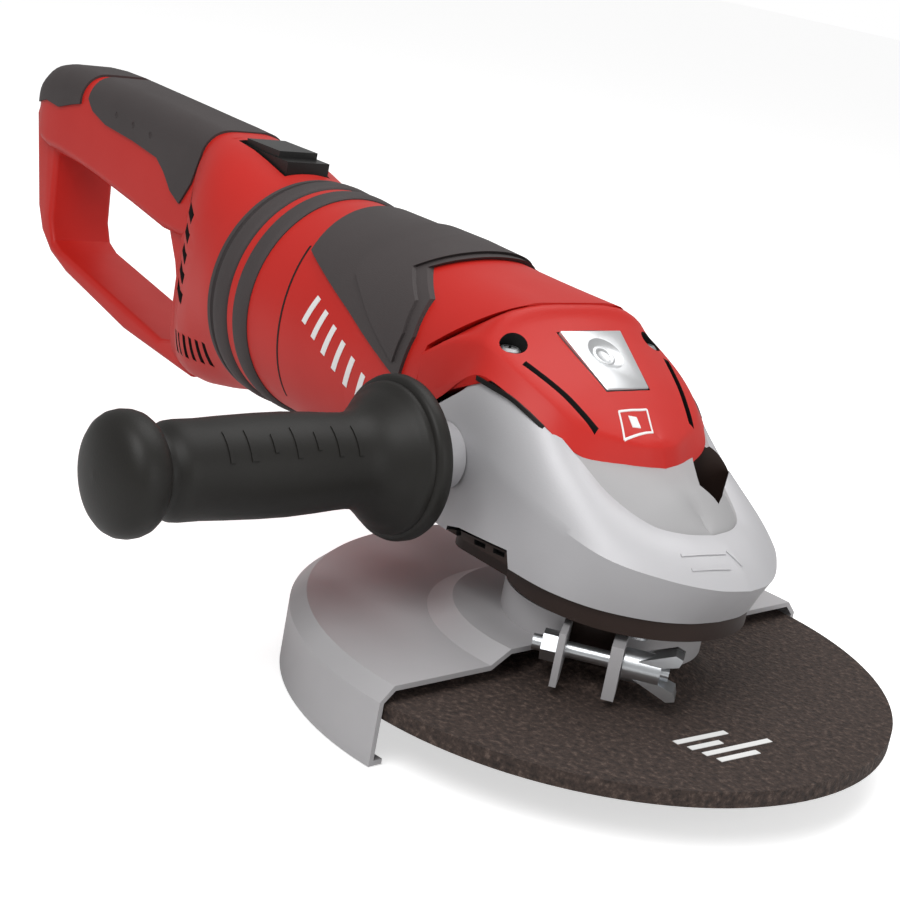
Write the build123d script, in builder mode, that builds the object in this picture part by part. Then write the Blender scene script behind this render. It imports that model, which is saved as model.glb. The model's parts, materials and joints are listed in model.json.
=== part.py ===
from build123d import *
import math
import os

os.makedirs("parts", exist_ok=True)

# Large corded angle grinder with a swivelling rear handle. Millimetres, +Z up, +X towards the nose.
# The origin is the lower end of the spindle, on its axis.

# --- driving dimensions ---
disc_radius = 115.0
disc_thickness = 6.0
bore_radius = 11.13
spindle_thread_radius = 7.0
seat = 12.0  # height of the disc's upper face above the spindle's end
axis_z = seat + 79.6  # height of the motor axis
hub_rise = 6.0  # how far the disc's centre stands above its rim
crown_teeth = 32
pinion_teeth = 12
crown_pitch_radius = 24.0
pinion_pitch_radius = crown_pitch_radius * pinion_teeth / crown_teeth
gear_face = 7.5
head_bottom = seat + 34.5
flange_bottom = seat + 27.0
neck_radius = 36.0
head_half_width = 50.0
head_nose_centre = 18.0
body_front = -64.0
body_rear = -192.0
body_radius = 49.5
ring_radius = 52.0
ring_front = -207.0
handle_front = -222.0
grip_half_width = 23.0
bar_half_width = 18.0
side_handle_x = -50.0
side_handle_z = seat + 63.4
guard_radius = 118.5
guard_plate_z = seat + 4.5
guard_skirt_z = seat - 23.0
guard_turn = 4.5  # degrees about the spindle
gap = 0.4  # clearance between faces that move past each other
fit_gap = 0.05  # radial clearance of a running shaft


def save(piece, name):
    piece.part.label = name
    export_step(piece.part, f"parts/{name}.step")


def tube_x(outer, inner, start, end, y=0.0, z=axis_z):
    """A tube or rod along X between two stations."""
    with BuildPart() as piece:
        with BuildSketch(Plane.YZ.offset(start)):
            with Locations((y, z)):
                Circle(outer)
                if inner > 0:
                    Circle(inner, mode=Mode.SUBTRACT)
        extrude(amount=end - start)
    return piece


def tube_z(outer, inner, start, end, x=0.0, y=0.0):
    """A tube or rod along Z between two heights."""
    with BuildPart() as piece:
        with BuildSketch(Plane.XY.offset(start)):
            with Locations((x, y)):
                Circle(outer)
                if inner > 0:
                    Circle(inner, mode=Mode.SUBTRACT)
        extrude(amount=end - start)
    return piece


def revolved(points, axis):
    """A closed profile of (radius, height) points turned about the spindle or another axis."""
    with BuildPart() as piece:
        with BuildSketch(Plane.XZ):
            with BuildLine():
                Polyline(*points, close=True)
            make_face()
        revolve(axis=axis)
    return piece


def turned_x(points):
    """A closed profile of (x, radius) points turned about the motor axis."""
    with BuildPart() as piece:
        with BuildSketch(Plane.XZ):
            with BuildLine():
                Polyline(*[(x, axis_z + r) for x, r in points], close=True)
            make_face()
        revolve(axis=Axis((0, 0, axis_z), (1, 0, 0)))
    return piece


def turned_handle(points):
    """A closed profile of (distance along -Y, radius) points turned about the side handle's axis."""
    with BuildPart() as piece:
        with BuildSketch(Plane(origin=(side_handle_x, 0, side_handle_z), x_dir=(0, -1, 0), z_dir=(1, 0, 0))):
            with BuildLine():
                Polyline(*points, close=True)
            make_face()
        revolve(axis=Axis((side_handle_x, 0, side_handle_z), (0, -1, 0)))
    return piece


# --- disc, its flange and nut, spindle ---
hub_top = seat + hub_rise
disc = revolved(
    [
        (bore_radius, seat),
        (bore_radius, hub_top),
        (33, hub_top),
        (46, seat),
        (disc_radius, seat),
        (disc_radius, seat - disc_thickness),
        (43, seat - disc_thickness),
        (30, seat),
    ],
    Axis.Z,
)
save(disc, "grinding_disc")

flange_top = hub_top + 5.0
inner_flange = revolved(
    [
        (spindle_thread_radius, hub_top - 4),
        (spindle_thread_radius, flange_top),
        (21, flange_top),
        (21, hub_top),
        (bore_radius - 0.03, hub_top),
        (bore_radius - 0.03, hub_top - 4),
    ],
    Axis.Z,
)
save(inner_flange, "inner_flange")

nut_bottom = seat - 7.0
with BuildPart() as clamp_nut:
    with BuildSketch(Plane.XY.offset(nut_bottom)):
        Circle(20)
        Circle(spindle_thread_radius, mode=Mode.SUBTRACT)
        with PolarLocations(15, 2):
            Circle(2.5, mode=Mode.SUBTRACT)
    extrude(amount=seat - nut_bottom)
save(clamp_nut, "clamp_nut")

spindle_top = seat + 79.0
crown_back = seat + 58.0
journal_radius = 8.5
free_end = 4.5  # length of plain thread below the clamping nut, closed by a relief groove
top_journal_radius = 6.0
spindle = revolved(
    [
        (0, 0),
        (spindle_thread_radius, 0),
        (spindle_thread_radius, free_end),
        (spindle_thread_radius - 0.8, free_end + 0.5),
        (spindle_thread_radius - 0.8, free_end + 1),
        (spindle_thread_radius, free_end + 1.5),
        (spindle_thread_radius, flange_top),
        (journal_radius, flange_top),
        (journal_radius, crown_back),
        (top_journal_radius, crown_back),
        (top_journal_radius, spindle_top),
        (0, spindle_top),
    ],
    Axis.Z,
)
save(spindle, "spindle")


# --- bevel gears: every tooth line runs to the point where the two axes cross ---
tooth_scale = 1 - gear_face / crown_pitch_radius
tooth_pitch = 2 * math.pi * crown_pitch_radius / crown_teeth
tooth_up = 1.0
tooth_down = 1.5
flank = 0.36  # half-thickness lost per millimetre of tooth height
half_tooth = 0.2 * tooth_pitch
pitch_z = axis_z - pinion_pitch_radius


def crown_tooth_section(scale):
    """The trapezoid of one crown tooth at the station crown_pitch_radius * scale."""
    root = pitch_z - tooth_down - 0.6
    tip = pitch_z + tooth_up
    rows = [
        (-(half_tooth + flank * (tooth_down + 0.6)), root),
        (half_tooth + flank * (tooth_down + 0.6), root),
        (half_tooth - flank * tooth_up, tip),
        (-(half_tooth - flank * tooth_up), tip),
    ]
    return [(y * scale, axis_z + (z - axis_z) * scale) for y, z in rows]


with BuildPart() as crown_tooth:
    for station in (1.0, tooth_scale):
        with BuildSketch(Plane.YZ.offset(crown_pitch_radius * station)):
            with BuildLine():
                Polyline(*crown_tooth_section(station), close=True)
            make_face()
    loft(ruled=True)

crown_root = pinion_pitch_radius + tooth_down
crown_outer = crown_pitch_radius + 1
crown_inner = crown_pitch_radius * tooth_scale - 1.1
with BuildPart() as crown_gear:
    with BuildSketch(Plane.XZ):
        with BuildLine():
            Polyline(
                (top_journal_radius, crown_back),
                (crown_outer, crown_back),
                (crown_outer, axis_z - crown_root * crown_outer / crown_pitch_radius),
                (crown_inner, axis_z - crown_root * crown_inner / crown_pitch_radius),
                (crown_inner - 1, seat + 71.6),
                (top_journal_radius, seat + 71.6),
                close=True,
            )
        make_face()
    revolve(axis=Axis.Z)
    for index in range(crown_teeth):
        add(crown_tooth.part.rotate(Axis.Z, 360.0 * index / crown_teeth))
    with BuildSketch(Plane.XY.offset(crown_back)):
        with PolarLocations(19.5, 6, 15):
            Circle(2.2)
    extrude(amount=5, mode=Mode.SUBTRACT)
save(crown_gear, "crown_gear")


def pinion_outline(scale):
    """The toothed outline of the pinion, half a pitch out of step with the crown at rest."""
    points = []
    for index in range(pinion_teeth):
        centre = 2 * math.pi * (index + 0.5) / pinion_teeth - math.pi / 2
        for radius, half in (
            (pinion_pitch_radius - tooth_down, half_tooth + 0.30 * tooth_down),
            (pinion_pitch_radius + tooth_up, half_tooth - 0.42 * tooth_up),
            (pinion_pitch_radius + tooth_up, -(half_tooth - 0.42 * tooth_up)),
            (pinion_pitch_radius - tooth_down, -(half_tooth + 0.30 * tooth_down)),
        ):
            angle = centre - half / radius
            points.append((scale * radius * math.cos(angle), axis_z + scale * radius * math.sin(angle)))
    return points


shaft_radius = 6.0
pinion_bore = 4.0
with BuildPart() as pinion_gear:
    for station in (1.0, tooth_scale):
        with BuildSketch(Plane.YZ.offset(-crown_pitch_radius * station)):
            with BuildLine():
                Polyline(*pinion_outline(station), close=True)
            make_face()
    loft(ruled=True)
    with BuildSketch(Plane.YZ.offset(-crown_pitch_radius - 4)):
        with Locations((0, axis_z)):
            Circle(pinion_pitch_radius - 1)
    extrude(amount=4)
    with BuildSketch(Plane.YZ.offset(-crown_pitch_radius - 4)):
        with Locations((0, axis_z)):
            Circle(pinion_bore)
    extrude(amount=12, mode=Mode.SUBTRACT)
save(pinion_gear, "pinion_gear")

# --- armature ---
shaft_rear = -206.0
rear_journal_radius = 4.0
armature_shaft = turned_x(
    [
        (-18, 0),
        (-18, pinion_bore),
        (-28, pinion_bore),
        (-28, shaft_radius),
        (-186, shaft_radius),
        (-186, rear_journal_radius),
        (shaft_rear, rear_journal_radius),
        (shaft_rear, 0),
    ]
)
save(armature_shaft, "armature_shaft")

core_front = -98.0
core_rear = -150.0
core_radius = 24.0
with BuildPart() as armature_core:
    with BuildSketch(Plane.YZ.offset(core_rear)):
        with Locations((0, axis_z)):
            Circle(core_radius)
            Circle(shaft_radius, mode=Mode.SUBTRACT)
            with PolarLocations(core_radius, 12):
                Rectangle(6, 2.4, mode=Mode.SUBTRACT)
    extrude(amount=core_front - core_rear)
save(armature_core, "armature_core")

with BuildPart() as armature_windings:
    for start, end in ((core_rear - 9, core_rear), (core_front, core_front + 8)):
        with BuildSketch(Plane.YZ.offset(start)):
            with Locations((0, axis_z)):
                Circle(20.5)
                Circle(shaft_radius, mode=Mode.SUBTRACT)
        extrude(amount=end - start)
save(armature_windings, "armature_windings")

commutator_radius = 14.0
commutator_front = -163.0
commutator_rear = -182.0
with BuildPart() as commutator:
    with BuildSketch(Plane.YZ.offset(commutator_rear)):
        with Locations((0, axis_z)):
            Circle(commutator_radius)
            Circle(shaft_radius, mode=Mode.SUBTRACT)
            with PolarLocations(commutator_radius, 24):
                Rectangle(1.6, 0.5, mode=Mode.SUBTRACT)
    extrude(amount=commutator_front - commutator_rear)
save(commutator, "commutator")

fan_front = -77.0
fan_rear = -88.0
fan_radius = 38.0
with BuildPart() as cooling_fan:
    with BuildSketch(Plane.YZ.offset(fan_rear)):
        with Locations((0, axis_z)):
            Circle(fan_radius)
            Circle(shaft_radius, mode=Mode.SUBTRACT)
    extrude(amount=2.5)
    with BuildSketch(Plane.YZ.offset(fan_rear)):
        with Locations((0, axis_z)):
            Circle(11)
            Circle(shaft_radius, mode=Mode.SUBTRACT)
            with PolarLocations(24, 16):
                Rectangle(27, 1.6, rotation=18)
    extrude(amount=fan_front - fan_rear)
save(cooling_fan, "cooling_fan")


def ball_bearing(outer, inner, start, end, along_x):
    """A sealed bearing: two races with the closing shields drawn as one recessed ring."""
    middle = (outer + inner) / 2
    with BuildPart() as piece:
        plane = Plane.YZ.offset(start) if along_x else Plane.XY.offset(start)
        centre = (0, axis_z) if along_x else (0, 0)
        with BuildSketch(plane):
            with Locations(centre):
                Circle(outer)
                Circle(inner, mode=Mode.SUBTRACT)
        extrude(amount=end - start)
        for face_offset in (start, end - 0.8):
            groove = Plane.YZ.offset(face_offset) if along_x else Plane.XY.offset(face_offset)
            with BuildSketch(groove):
                with Locations(centre):
                    Circle(middle + 1.6)
                    Circle(middle - 1.6, mode=Mode.SUBTRACT)
            extrude(amount=0.8, mode=Mode.SUBTRACT)
    return piece


front_bearing_front = -33.0
front_bearing_rear = -43.0
front_bearing_radius = 16.0
rear_bearing_radius = 11.0
save(
    ball_bearing(front_bearing_radius, shaft_radius + fit_gap, front_bearing_rear, front_bearing_front, True),
    "front_motor_bearing",
)
save(ball_bearing(rear_bearing_radius, rear_journal_radius + fit_gap, -198, -191, True), "rear_motor_bearing")
lower_bearing_radius = 20.0
lower_bearing_bottom = seat + 24.0
lower_bearing_top = seat + 36.0
save(
    ball_bearing(lower_bearing_radius, journal_radius + fit_gap, lower_bearing_bottom, lower_bearing_top, False),
    "spindle_lower_bearing",
)
upper_bearing_radius = 9.5
upper_bearing_bottom = seat + 72.5
save(
    ball_bearing(upper_bearing_radius, top_journal_radius + fit_gap, upper_bearing_bottom, spindle_top, False),
    "spindle_upper_bearing",
)

# --- outer form of the motor housing ---
front_plane_x = -48.0
taper_start = -120.0


def body_solid(grow, front=front_plane_x, rear=body_rear):
    """The outer form of the motor housing, enlarged by grow: a cylinder that squares off to the front."""
    with BuildPart() as piece:
        with BuildSketch(Plane.YZ.offset(rear)):
            with Locations((0, axis_z)):
                Circle(body_radius + grow)
        extrude(amount=taper_start - rear)
        with BuildSketch(Plane.YZ.offset(taper_start)):
            with Locations((0, axis_z)):
                Circle(body_radius + grow)
        with BuildSketch(Plane.YZ.offset(front)):
            with Locations((0, axis_z - 2)):
                RectangleRounded(2 * (head_half_width + grow), 2 * (body_radius - 4 + grow), 34)
        loft(ruled=True)
    return piece.part


wall = 3.5

# --- stator, brushes and the plates that carry them ---
stator_radius = 46.0
stator_bore = core_radius + 1.0
with BuildPart() as stator_core:
    with BuildSketch(Plane.YZ.offset(core_rear)):
        with Locations((0, axis_z)):
            Circle(stator_radius)
            Circle(stator_radius - 9, mode=Mode.SUBTRACT)
    extrude(amount=core_front - core_rear)
    with BuildSketch(Plane.YZ.offset(core_rear)):
        with Locations((0, axis_z)):
            Rectangle(28, 2 * stator_radius - 8)
            Circle(stator_bore, mode=Mode.SUBTRACT)
    extrude(amount=core_front - core_rear)
    add(body_solid(-wall), mode=Mode.INTERSECT)
save(stator_core, "stator_core")

with BuildPart() as field_coils:
    for start in (core_rear - 8, core_front):
        with BuildSketch(Plane.YZ.offset(start)):
            with Locations((0, axis_z)):
                Circle(stator_radius - 8)
                Circle(stator_bore + 1, mode=Mode.SUBTRACT)
                Rectangle(12, 100, mode=Mode.SUBTRACT)
        extrude(amount=8)
save(field_coils, "field_coils")

with BuildPart() as air_baffle:
    with BuildSketch(Plane.YZ.offset(fan_rear - 5)):
        with Locations((0, axis_z)):
            Circle(60)
            Circle(fan_radius + 2, mode=Mode.SUBTRACT)
    extrude(amount=3)
    add(body_solid(-wall), mode=Mode.INTERSECT)
save(air_baffle, "air_baffle")

bridge_front = -189.0
bridge_rear = -200.0
with BuildPart() as bearing_bridge:
    with BuildSketch(Plane.YZ.offset(bridge_rear)):
        with Locations((0, axis_z)):
            Circle(38)
            Circle(rear_bearing_radius, mode=Mode.SUBTRACT)
            with PolarLocations(25, 6):
                Circle(7, mode=Mode.SUBTRACT)
    extrude(amount=bridge_front - bridge_rear)
save(bearing_bridge, "bearing_bridge")

brush_width = 7.0
brush_front = commutator_front - 3
brush_rear = commutator_rear + 3
with BuildPart() as carbon_brushes:
    for side in (-1, 1):
        with BuildSketch(Plane.XY.offset(axis_z - brush_width / 2)):
            with Locations(((brush_front + brush_rear) / 2, side * (commutator_radius + gap + 9))):
                Rectangle(brush_front - brush_rear, 18)
        extrude(amount=brush_width)
save(carbon_brushes, "carbon_brushes")

with BuildPart() as brush_holders:
    for side in (-1, 1):
        with BuildSketch(Plane.XY.offset(axis_z - brush_width / 2 - 2)):
            with Locations(((brush_front + 2 + bridge_front) / 2, side * 31)):
                Rectangle(brush_front + 2 - bridge_front, 22)
        extrude(amount=brush_width + 4)
        with BuildSketch(Plane.XY.offset(axis_z - brush_width / 2)):
            with Locations(((brush_front + brush_rear) / 2, side * 28)):
                Rectangle(brush_front - brush_rear, 22)
        extrude(amount=brush_width, mode=Mode.SUBTRACT)
save(brush_holders, "brush_holders")

# --- bearing flange under the head, with the neck that carries the guard ---
flange_centre_x = 9.0
flange_radius = 46.0
neck_bottom = seat + 8.5
with BuildPart() as bearing_flange:
    with BuildSketch(Plane.XY.offset(flange_bottom)):
        with Locations((flange_centre_x, 0)):
            Circle(flange_radius)
        with Locations((-22, 0)):
            RectangleRounded(64, 78, 12)
    extrude(amount=head_bottom - flange_bottom)
    with BuildSketch(Plane.XY.offset(neck_bottom)):
        Circle(neck_radius)
    extrude(amount=flange_bottom - neck_bottom)
    with BuildSketch(Plane.XY.offset(neck_bottom)):
        Circle(journal_radius + 14)
    extrude(amount=lower_bearing_bottom - 2 - neck_bottom, mode=Mode.SUBTRACT)
    with BuildSketch(Plane.XY.offset(neck_bottom)):
        Circle(journal_radius + gap)
    extrude(amount=lower_bearing_bottom - neck_bottom, mode=Mode.SUBTRACT)
    with BuildSketch(Plane.XY.offset(lower_bearing_bottom)):
        Circle(lower_bearing_radius)
    extrude(amount=head_bottom - lower_bearing_bottom, mode=Mode.SUBTRACT)
save(bearing_flange, "bearing_flange")

with BuildPart() as flange_screws:
    with BuildSketch(Plane.XY.offset(flange_bottom - 2.5)):
        with Locations((40, 22), (40, -22), (-44, 30), (-44, -30)):
            Circle(3.8)
    extrude(amount=2.5)
save(flange_screws, "flange_screws")


# --- gear housing ---
upper_seat_radius = upper_bearing_radius + 4
nose_x = head_nose_centre + head_half_width
gear_case_top = [
    (body_front, head_bottom),
    (nose_x - 12, head_bottom),
    (nose_x, seat + 51),
    (nose_x - 5, seat + 60),
    (46, seat + 66),
    (20, seat + 77),
    (-8, seat + 92),
    (-42, seat + 99),
    (-60, seat + 83),
    (body_front, seat + 79),
]
with BuildPart() as gear_housing:
    with BuildSketch(Plane.XY.offset(head_bottom)):
        with Locations(((head_nose_centre + body_front) / 2, 0)):
            Rectangle(head_nose_centre - body_front, 2 * head_half_width)
        with Locations((head_nose_centre, 0)):
            Circle(head_half_width)
    extrude(amount=80)
    with BuildSketch(Plane.XZ.offset(-60)):
        with BuildLine():
            Polyline(*gear_case_top, close=True)
        make_face()
    extrude(amount=120, mode=Mode.INTERSECT)
    # cavity of the crown gear, then the pinion's, the bearing seats and the handle sockets
    with BuildSketch(Plane.XY.offset(head_bottom)):
        Circle(lower_bearing_radius)
    extrude(amount=2, mode=Mode.SUBTRACT)
    with BuildSketch(Plane.XZ):
        with BuildLine():
            Polyline(
                (0, seat + 36),
                (crown_outer + 2, seat + 36),
                (crown_outer + 2, seat + 72.3),
                (crown_inner - 1, seat + 76),
                (upper_seat_radius, seat + 76),
                (upper_seat_radius, spindle_top),
                (0, spindle_top),
                close=True,
            )
        make_face()
    revolve(axis=Axis.Z, mode=Mode.SUBTRACT)
    with BuildSketch(Plane.YZ.offset(front_bearing_front)):
        with Locations((0, axis_z)):
            Circle(pinion_pitch_radius + 2.5)
    extrude(amount=-front_bearing_front - 12, mode=Mode.SUBTRACT)
    with BuildSketch(Plane.YZ.offset(front_bearing_rear)):
        with Locations((0, axis_z)):
            Circle(front_bearing_radius)
    extrude(amount=front_bearing_front - front_bearing_rear, mode=Mode.SUBTRACT)
    with BuildSketch(Plane.YZ.offset(body_front)):
        with Locations((0, axis_z)):
            Circle(front_bearing_radius - 3)
    extrude(amount=front_bearing_rear - body_front, mode=Mode.SUBTRACT)
    with BuildSketch(Plane.XZ.offset(-head_half_width - 1)):
        with Locations((side_handle_x, side_handle_z)):
            Circle(6.0)
    extrude(amount=24, mode=Mode.SUBTRACT)
    with BuildSketch(Plane.XZ.offset(head_half_width + 1)):
        with Locations((side_handle_x, side_handle_z)):
            Circle(6.0)
    extrude(amount=-24, mode=Mode.SUBTRACT)
    # exhaust mouth on the far flank
    with BuildSketch(Plane.XY.offset(seat + 64)):
        with BuildLine():
            Polyline((-6, 36), (20, 26), (34, 34), (6, 46), close=True)
        make_face()
    extrude(amount=40, mode=Mode.SUBTRACT)
save(gear_housing, "gear_housing")

# the upper bearing sits in a ring pressed into the roof of the housing
save(tube_z(upper_seat_radius, upper_bearing_radius, upper_bearing_bottom, spindle_top), "upper_bearing_seat")

# --- red cover over the head ---
slope = math.degrees(math.atan2(17.5, 30))
lock_plane = Plane(
    origin=(-27, 0, seat + 108.75),
    x_dir=(math.cos(math.radians(slope)), 0, -math.sin(math.radians(slope))),
    z_dir=(math.sin(math.radians(slope)), 0, math.cos(math.radians(slope))),
)
lock_pin_radius = 2.6
lock_spring_radius = 4.6
lock_spring_height = 2.2
screw_x = -44.0
screw_y = 36.0
screw_seat_z = seat + 109.5


def lock_plate(grow):
    """The trapezoid plate of the spindle lock, enlarged by grow, as side points for its sketch."""
    return [(-14 - grow, -12.5 - grow), (-14 - grow, 12.5 + grow), (15 + grow, 9 + grow), (15 + grow, -9 - grow)]


cover_top = [
    (-74, seat + 99),
    (-49, seat + 122),
    (-42, seat + 117.5),
    (-12, seat + 100),
    (6, seat + 87),
    (19, seat + 80),
]
cover_bottom = [
    (20, seat + 77),
    (-8, seat + 92),
    (-42, seat + 99),
    (-60, seat + 83),
    (body_front, seat + 79),
    (-74, seat + 79),
]
cover_hollow = [
    (-66, seat + 102),
    (-48, seat + 117.5),
    (-14, seat + 97),
    (-8, seat + 92),
    (-42, seat + 99),
    (-56, seat + 87),
]
cover_half_width = 47.5
with BuildPart() as gear_cover:
    with BuildSketch(Plane.XY.offset(seat + 70)):
        with BuildLine():
            Line((-74, cover_half_width), (-10, cover_half_width))
            ThreePointArc((-10, cover_half_width), (20, 0), (-10, -cover_half_width))
            Line((-10, -cover_half_width), (-74, -cover_half_width))
            Line((-74, -cover_half_width), (-74, cover_half_width))
        make_face()
    extrude(amount=70)
    with BuildSketch(Plane.XZ.offset(-60)):
        with BuildLine():
            Polyline(*cover_top, *cover_bottom, close=True)
        make_face()
    extrude(amount=120, mode=Mode.INTERSECT)
    for start in (-29, 14):
        with BuildSketch(Plane.XZ.offset(start)):
            with BuildLine():
                Polyline(*cover_hollow, close=True)
            make_face()
        extrude(amount=15, mode=Mode.SUBTRACT)
    # the lock plate's pocket, its spring's seat and the pin's hole
    with BuildSketch(lock_plane.offset(5)):
        with BuildLine():
            Polyline(*lock_plate(gap), close=True)
        make_face()
    extrude(amount=-11, mode=Mode.SUBTRACT)
    with BuildSketch(lock_plane.offset(-6)):
        Circle(lock_spring_radius)
    extrude(amount=-lock_spring_height, mode=Mode.SUBTRACT)
    with BuildSketch(lock_plane.offset(-6)):
        Circle(lock_pin_radius + gap)
    extrude(amount=-9, mode=Mode.SUBTRACT)
    with BuildSketch(Plane.YZ.offset(-75)):
        with Locations((0, axis_z)):
            Circle(shaft_radius + 1)
    extrude(amount=25, mode=Mode.SUBTRACT)
    with BuildSketch(Plane.XY.offset(screw_seat_z)):
        with Locations((screw_x, screw_y), (screw_x, -screw_y)):
            Circle(5)
    extrude(amount=12, mode=Mode.SUBTRACT)
    with BuildSketch(Plane.XY.offset(seat + 99.5)):
        with Locations((screw_x, screw_y), (screw_x, -screw_y)):
            Circle(2.5)
    extrude(amount=11, mode=Mode.SUBTRACT)
save(gear_cover, "gear_cover")

with BuildPart() as cover_screws:
    for side in (-1, 1):
        with BuildSketch(Plane.XY.offset(screw_seat_z)):
            with Locations((screw_x, side * screw_y)):
                Circle(4.5)
        extrude(amount=3.5)
        with BuildSketch(Plane.XY.offset(screw_seat_z + 1.5)):
            with Locations((screw_x, side * screw_y)):
                RegularPolygon(2.2, 6)
        extrude(amount=2, mode=Mode.SUBTRACT)
        with BuildSketch(Plane.XY.offset(seat + 99.5)):
            with Locations((screw_x, side * screw_y)):
                Circle(2.5)
        extrude(amount=10)
save(cover_screws, "cover_screws")

# --- spindle lock: a pin under a sprung plate on the sloping top of the cover ---
with BuildPart() as spindle_lock_button:
    with BuildSketch(lock_plane.offset(1.2)):
        with BuildLine():
            Polyline(*lock_plate(0), close=True)
        make_face()
    extrude(amount=-3.2)
    with BuildSketch(lock_plane.offset(1.2)):
        Circle(7.5)
    extrude(amount=-1.5, mode=Mode.SUBTRACT)
    with BuildSketch(lock_plane.offset(-2)):
        Circle(lock_pin_radius)
    extrude(amount=-7)
save(spindle_lock_button, "spindle_lock_button")

with BuildPart() as spindle_lock_spring:
    with BuildSketch(lock_plane.offset(-6)):
        Circle(lock_spring_radius)
        Circle(lock_pin_radius + 0.6, mode=Mode.SUBTRACT)
    extrude(amount=-lock_spring_height)
save(spindle_lock_spring, "spindle_lock_spring")

# --- motor housing ---
with BuildPart() as motor_housing:
    add(body_solid(0))
    add(body_solid(-wall, rear=body_rear + 3), mode=Mode.SUBTRACT)
    with BuildSketch(Plane.YZ.offset(body_rear)):
        with Locations((0, axis_z)):
            Circle(38)
    extrude(amount=4, mode=Mode.SUBTRACT)
    # the head's corner is cut out of the front
    with BuildSketch(Plane.XZ.offset(-60)):
        with BuildLine():
            Polyline(
                (-49, seat + 140),
                (-49, seat + 122),
                (-74, seat + 99),
                (-74, seat + 79),
                (body_front, seat + 79),
                (body_front, seat + 10),
                (-30, seat + 10),
                (-30, seat + 140),
                close=True,
            )
        make_face()
    extrude(amount=120, mode=Mode.SUBTRACT)
    # swivel neck with its retaining lip
    with BuildSketch(Plane.YZ.offset(-216)):
        with Locations((0, axis_z)):
            Circle(42)
            Circle(38, mode=Mode.SUBTRACT)
    extrude(amount=body_rear + 216)
    with BuildSketch(Plane.YZ.offset(-216)):
        with Locations((0, axis_z)):
            Circle(45)
            Circle(38, mode=Mode.SUBTRACT)
    extrude(amount=2.5)
    # air outlets in the belly
    with BuildSketch(Plane.XY.offset(seat + 20)):
        with GridLocations(9, 0, 4, 1):
            with Locations((-96, 0)):
                SlotOverall(26, 4, rotation=90)
    extrude(amount=20, mode=Mode.SUBTRACT)
save(motor_housing, "motor_housing")

pad_outline = [(-176, 136), (-168, 112), (-126, 98), (-84, 82), (-82, 100), (-86, 114), (-104, 122), (-88, 136)]
inner_pad_outline = [(-140, 134), (-134, 112), (-112, 100), (-88, 88), (-87, 100), (-91, 112), (-109, 121), (-96, 134)]


def pad_shell(outline, inside, outside):
    """A skin on the motor housing between two offsets of its surface, kept where the outline covers it."""
    with BuildPart() as piece:
        add(body_solid(outside))
        add(body_solid(inside), mode=Mode.SUBTRACT)
        with BuildSketch(Plane.XZ.offset(-70)):
            with BuildLine():
                Polyline(*[(x, seat + z) for x, z in outline], close=True)
            make_face()
        extrude(amount=140, mode=Mode.INTERSECT)
    return piece


save(pad_shell(pad_outline, 0.0, 1.6), "top_pad_outer")
save(pad_shell(inner_pad_outline, 1.6, 2.8), "top_pad_inner")

# --- swivel rings ---
save(tube_x(ring_radius - 0.5, 42, -202, body_rear), "front_swivel_ring")
save(tube_x(ring_radius - 1.5, 42, ring_front + gap, -202), "swivel_band")
lip_room = 45 + gap
rear_swivel_ring = turned_x(
    [
        (handle_front, 45.5),
        (handle_front, ring_radius - 0.5),
        (-219, ring_radius - 0.5),
        (-219, ring_radius - 2.5),
        (-217.5, ring_radius - 2.5),
        (-217.5, ring_radius),
        (ring_front, ring_radius),
        (ring_front, 42 + gap),
        (-213.1, 42 + gap),
        (-213.1, lip_room),
        (-219.5, lip_room),
    ]
)
save(rear_swivel_ring, "rear_swivel_ring")

# --- D-shaped handle ---
bar_outline = [
    (-262, 20),
    (-291, 21.4),
    (-344, 25),
    (-424, 41),
    (-446, 60),
    (-461, 118),
    (-456, 134),
    (-440, 141),
    (-405, 142),
    (-300, 139),
    (-262, 137),
]
top_bar_outline = [
    (-452, 112),
    (-452, 134),
    (-440, 141),
    (-405, 142),
    (-300, 139),
    (-280, 138),
    (-280, 84),
    (-315, 84),
    (-347, 89),
    (-384, 94),
    (-430, 98),
]
hand_opening = [
    (-434, 96),
    (-427, 49),
    (-305, 31),
    (-294, 43),
    (-306, 70),
    (-315, 84),
    (-347, 89),
    (-384, 94),
]


def at_seat(points):
    """Side-view points whose heights count from the disc's seat."""
    return [(x, seat + z) for x, z in points]


def side_prism(points, half_width):
    """A side-view outline made solid about the middle plane."""
    with BuildPart() as piece:
        with BuildSketch(Plane.XZ.offset(-half_width)):
            with BuildLine():
                Polyline(*at_seat(points), close=True)
            make_face()
        extrude(amount=2 * half_width)
    return piece


def flare(shrink):
    """The handle's flared front, from the swivel ring back to the D."""
    with BuildPart() as piece:
        with BuildSketch(Plane.YZ.offset(handle_front)):
            with Locations((0, axis_z)):
                Circle(49.5 - shrink)
        with BuildSketch(Plane.YZ.offset(-258)):
            with Locations((0, seat + 79)):
                RectangleRounded(84 - 2 * shrink, 114 - 2 * shrink, 36 - shrink)
        with BuildSketch(Plane.YZ.offset(-292 + shrink)):
            with Locations((0, seat + 80)):
                RectangleRounded(44 - 2 * shrink, 118 - 2 * shrink, 18 - shrink)
        loft(ruled=True)
    return piece.part


with BuildPart() as top_bar:
    add(side_prism(top_bar_outline, grip_half_width).part)
    fillet(top_bar.edges().filter_by(Axis.Y, reverse=True).group_by(Axis.Z)[-1], 5)

with BuildPart() as bars:
    add(side_prism(bar_outline, bar_half_width).part)
    chamfer(bars.edges().filter_by(Axis.Y, reverse=True), 3)

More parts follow.
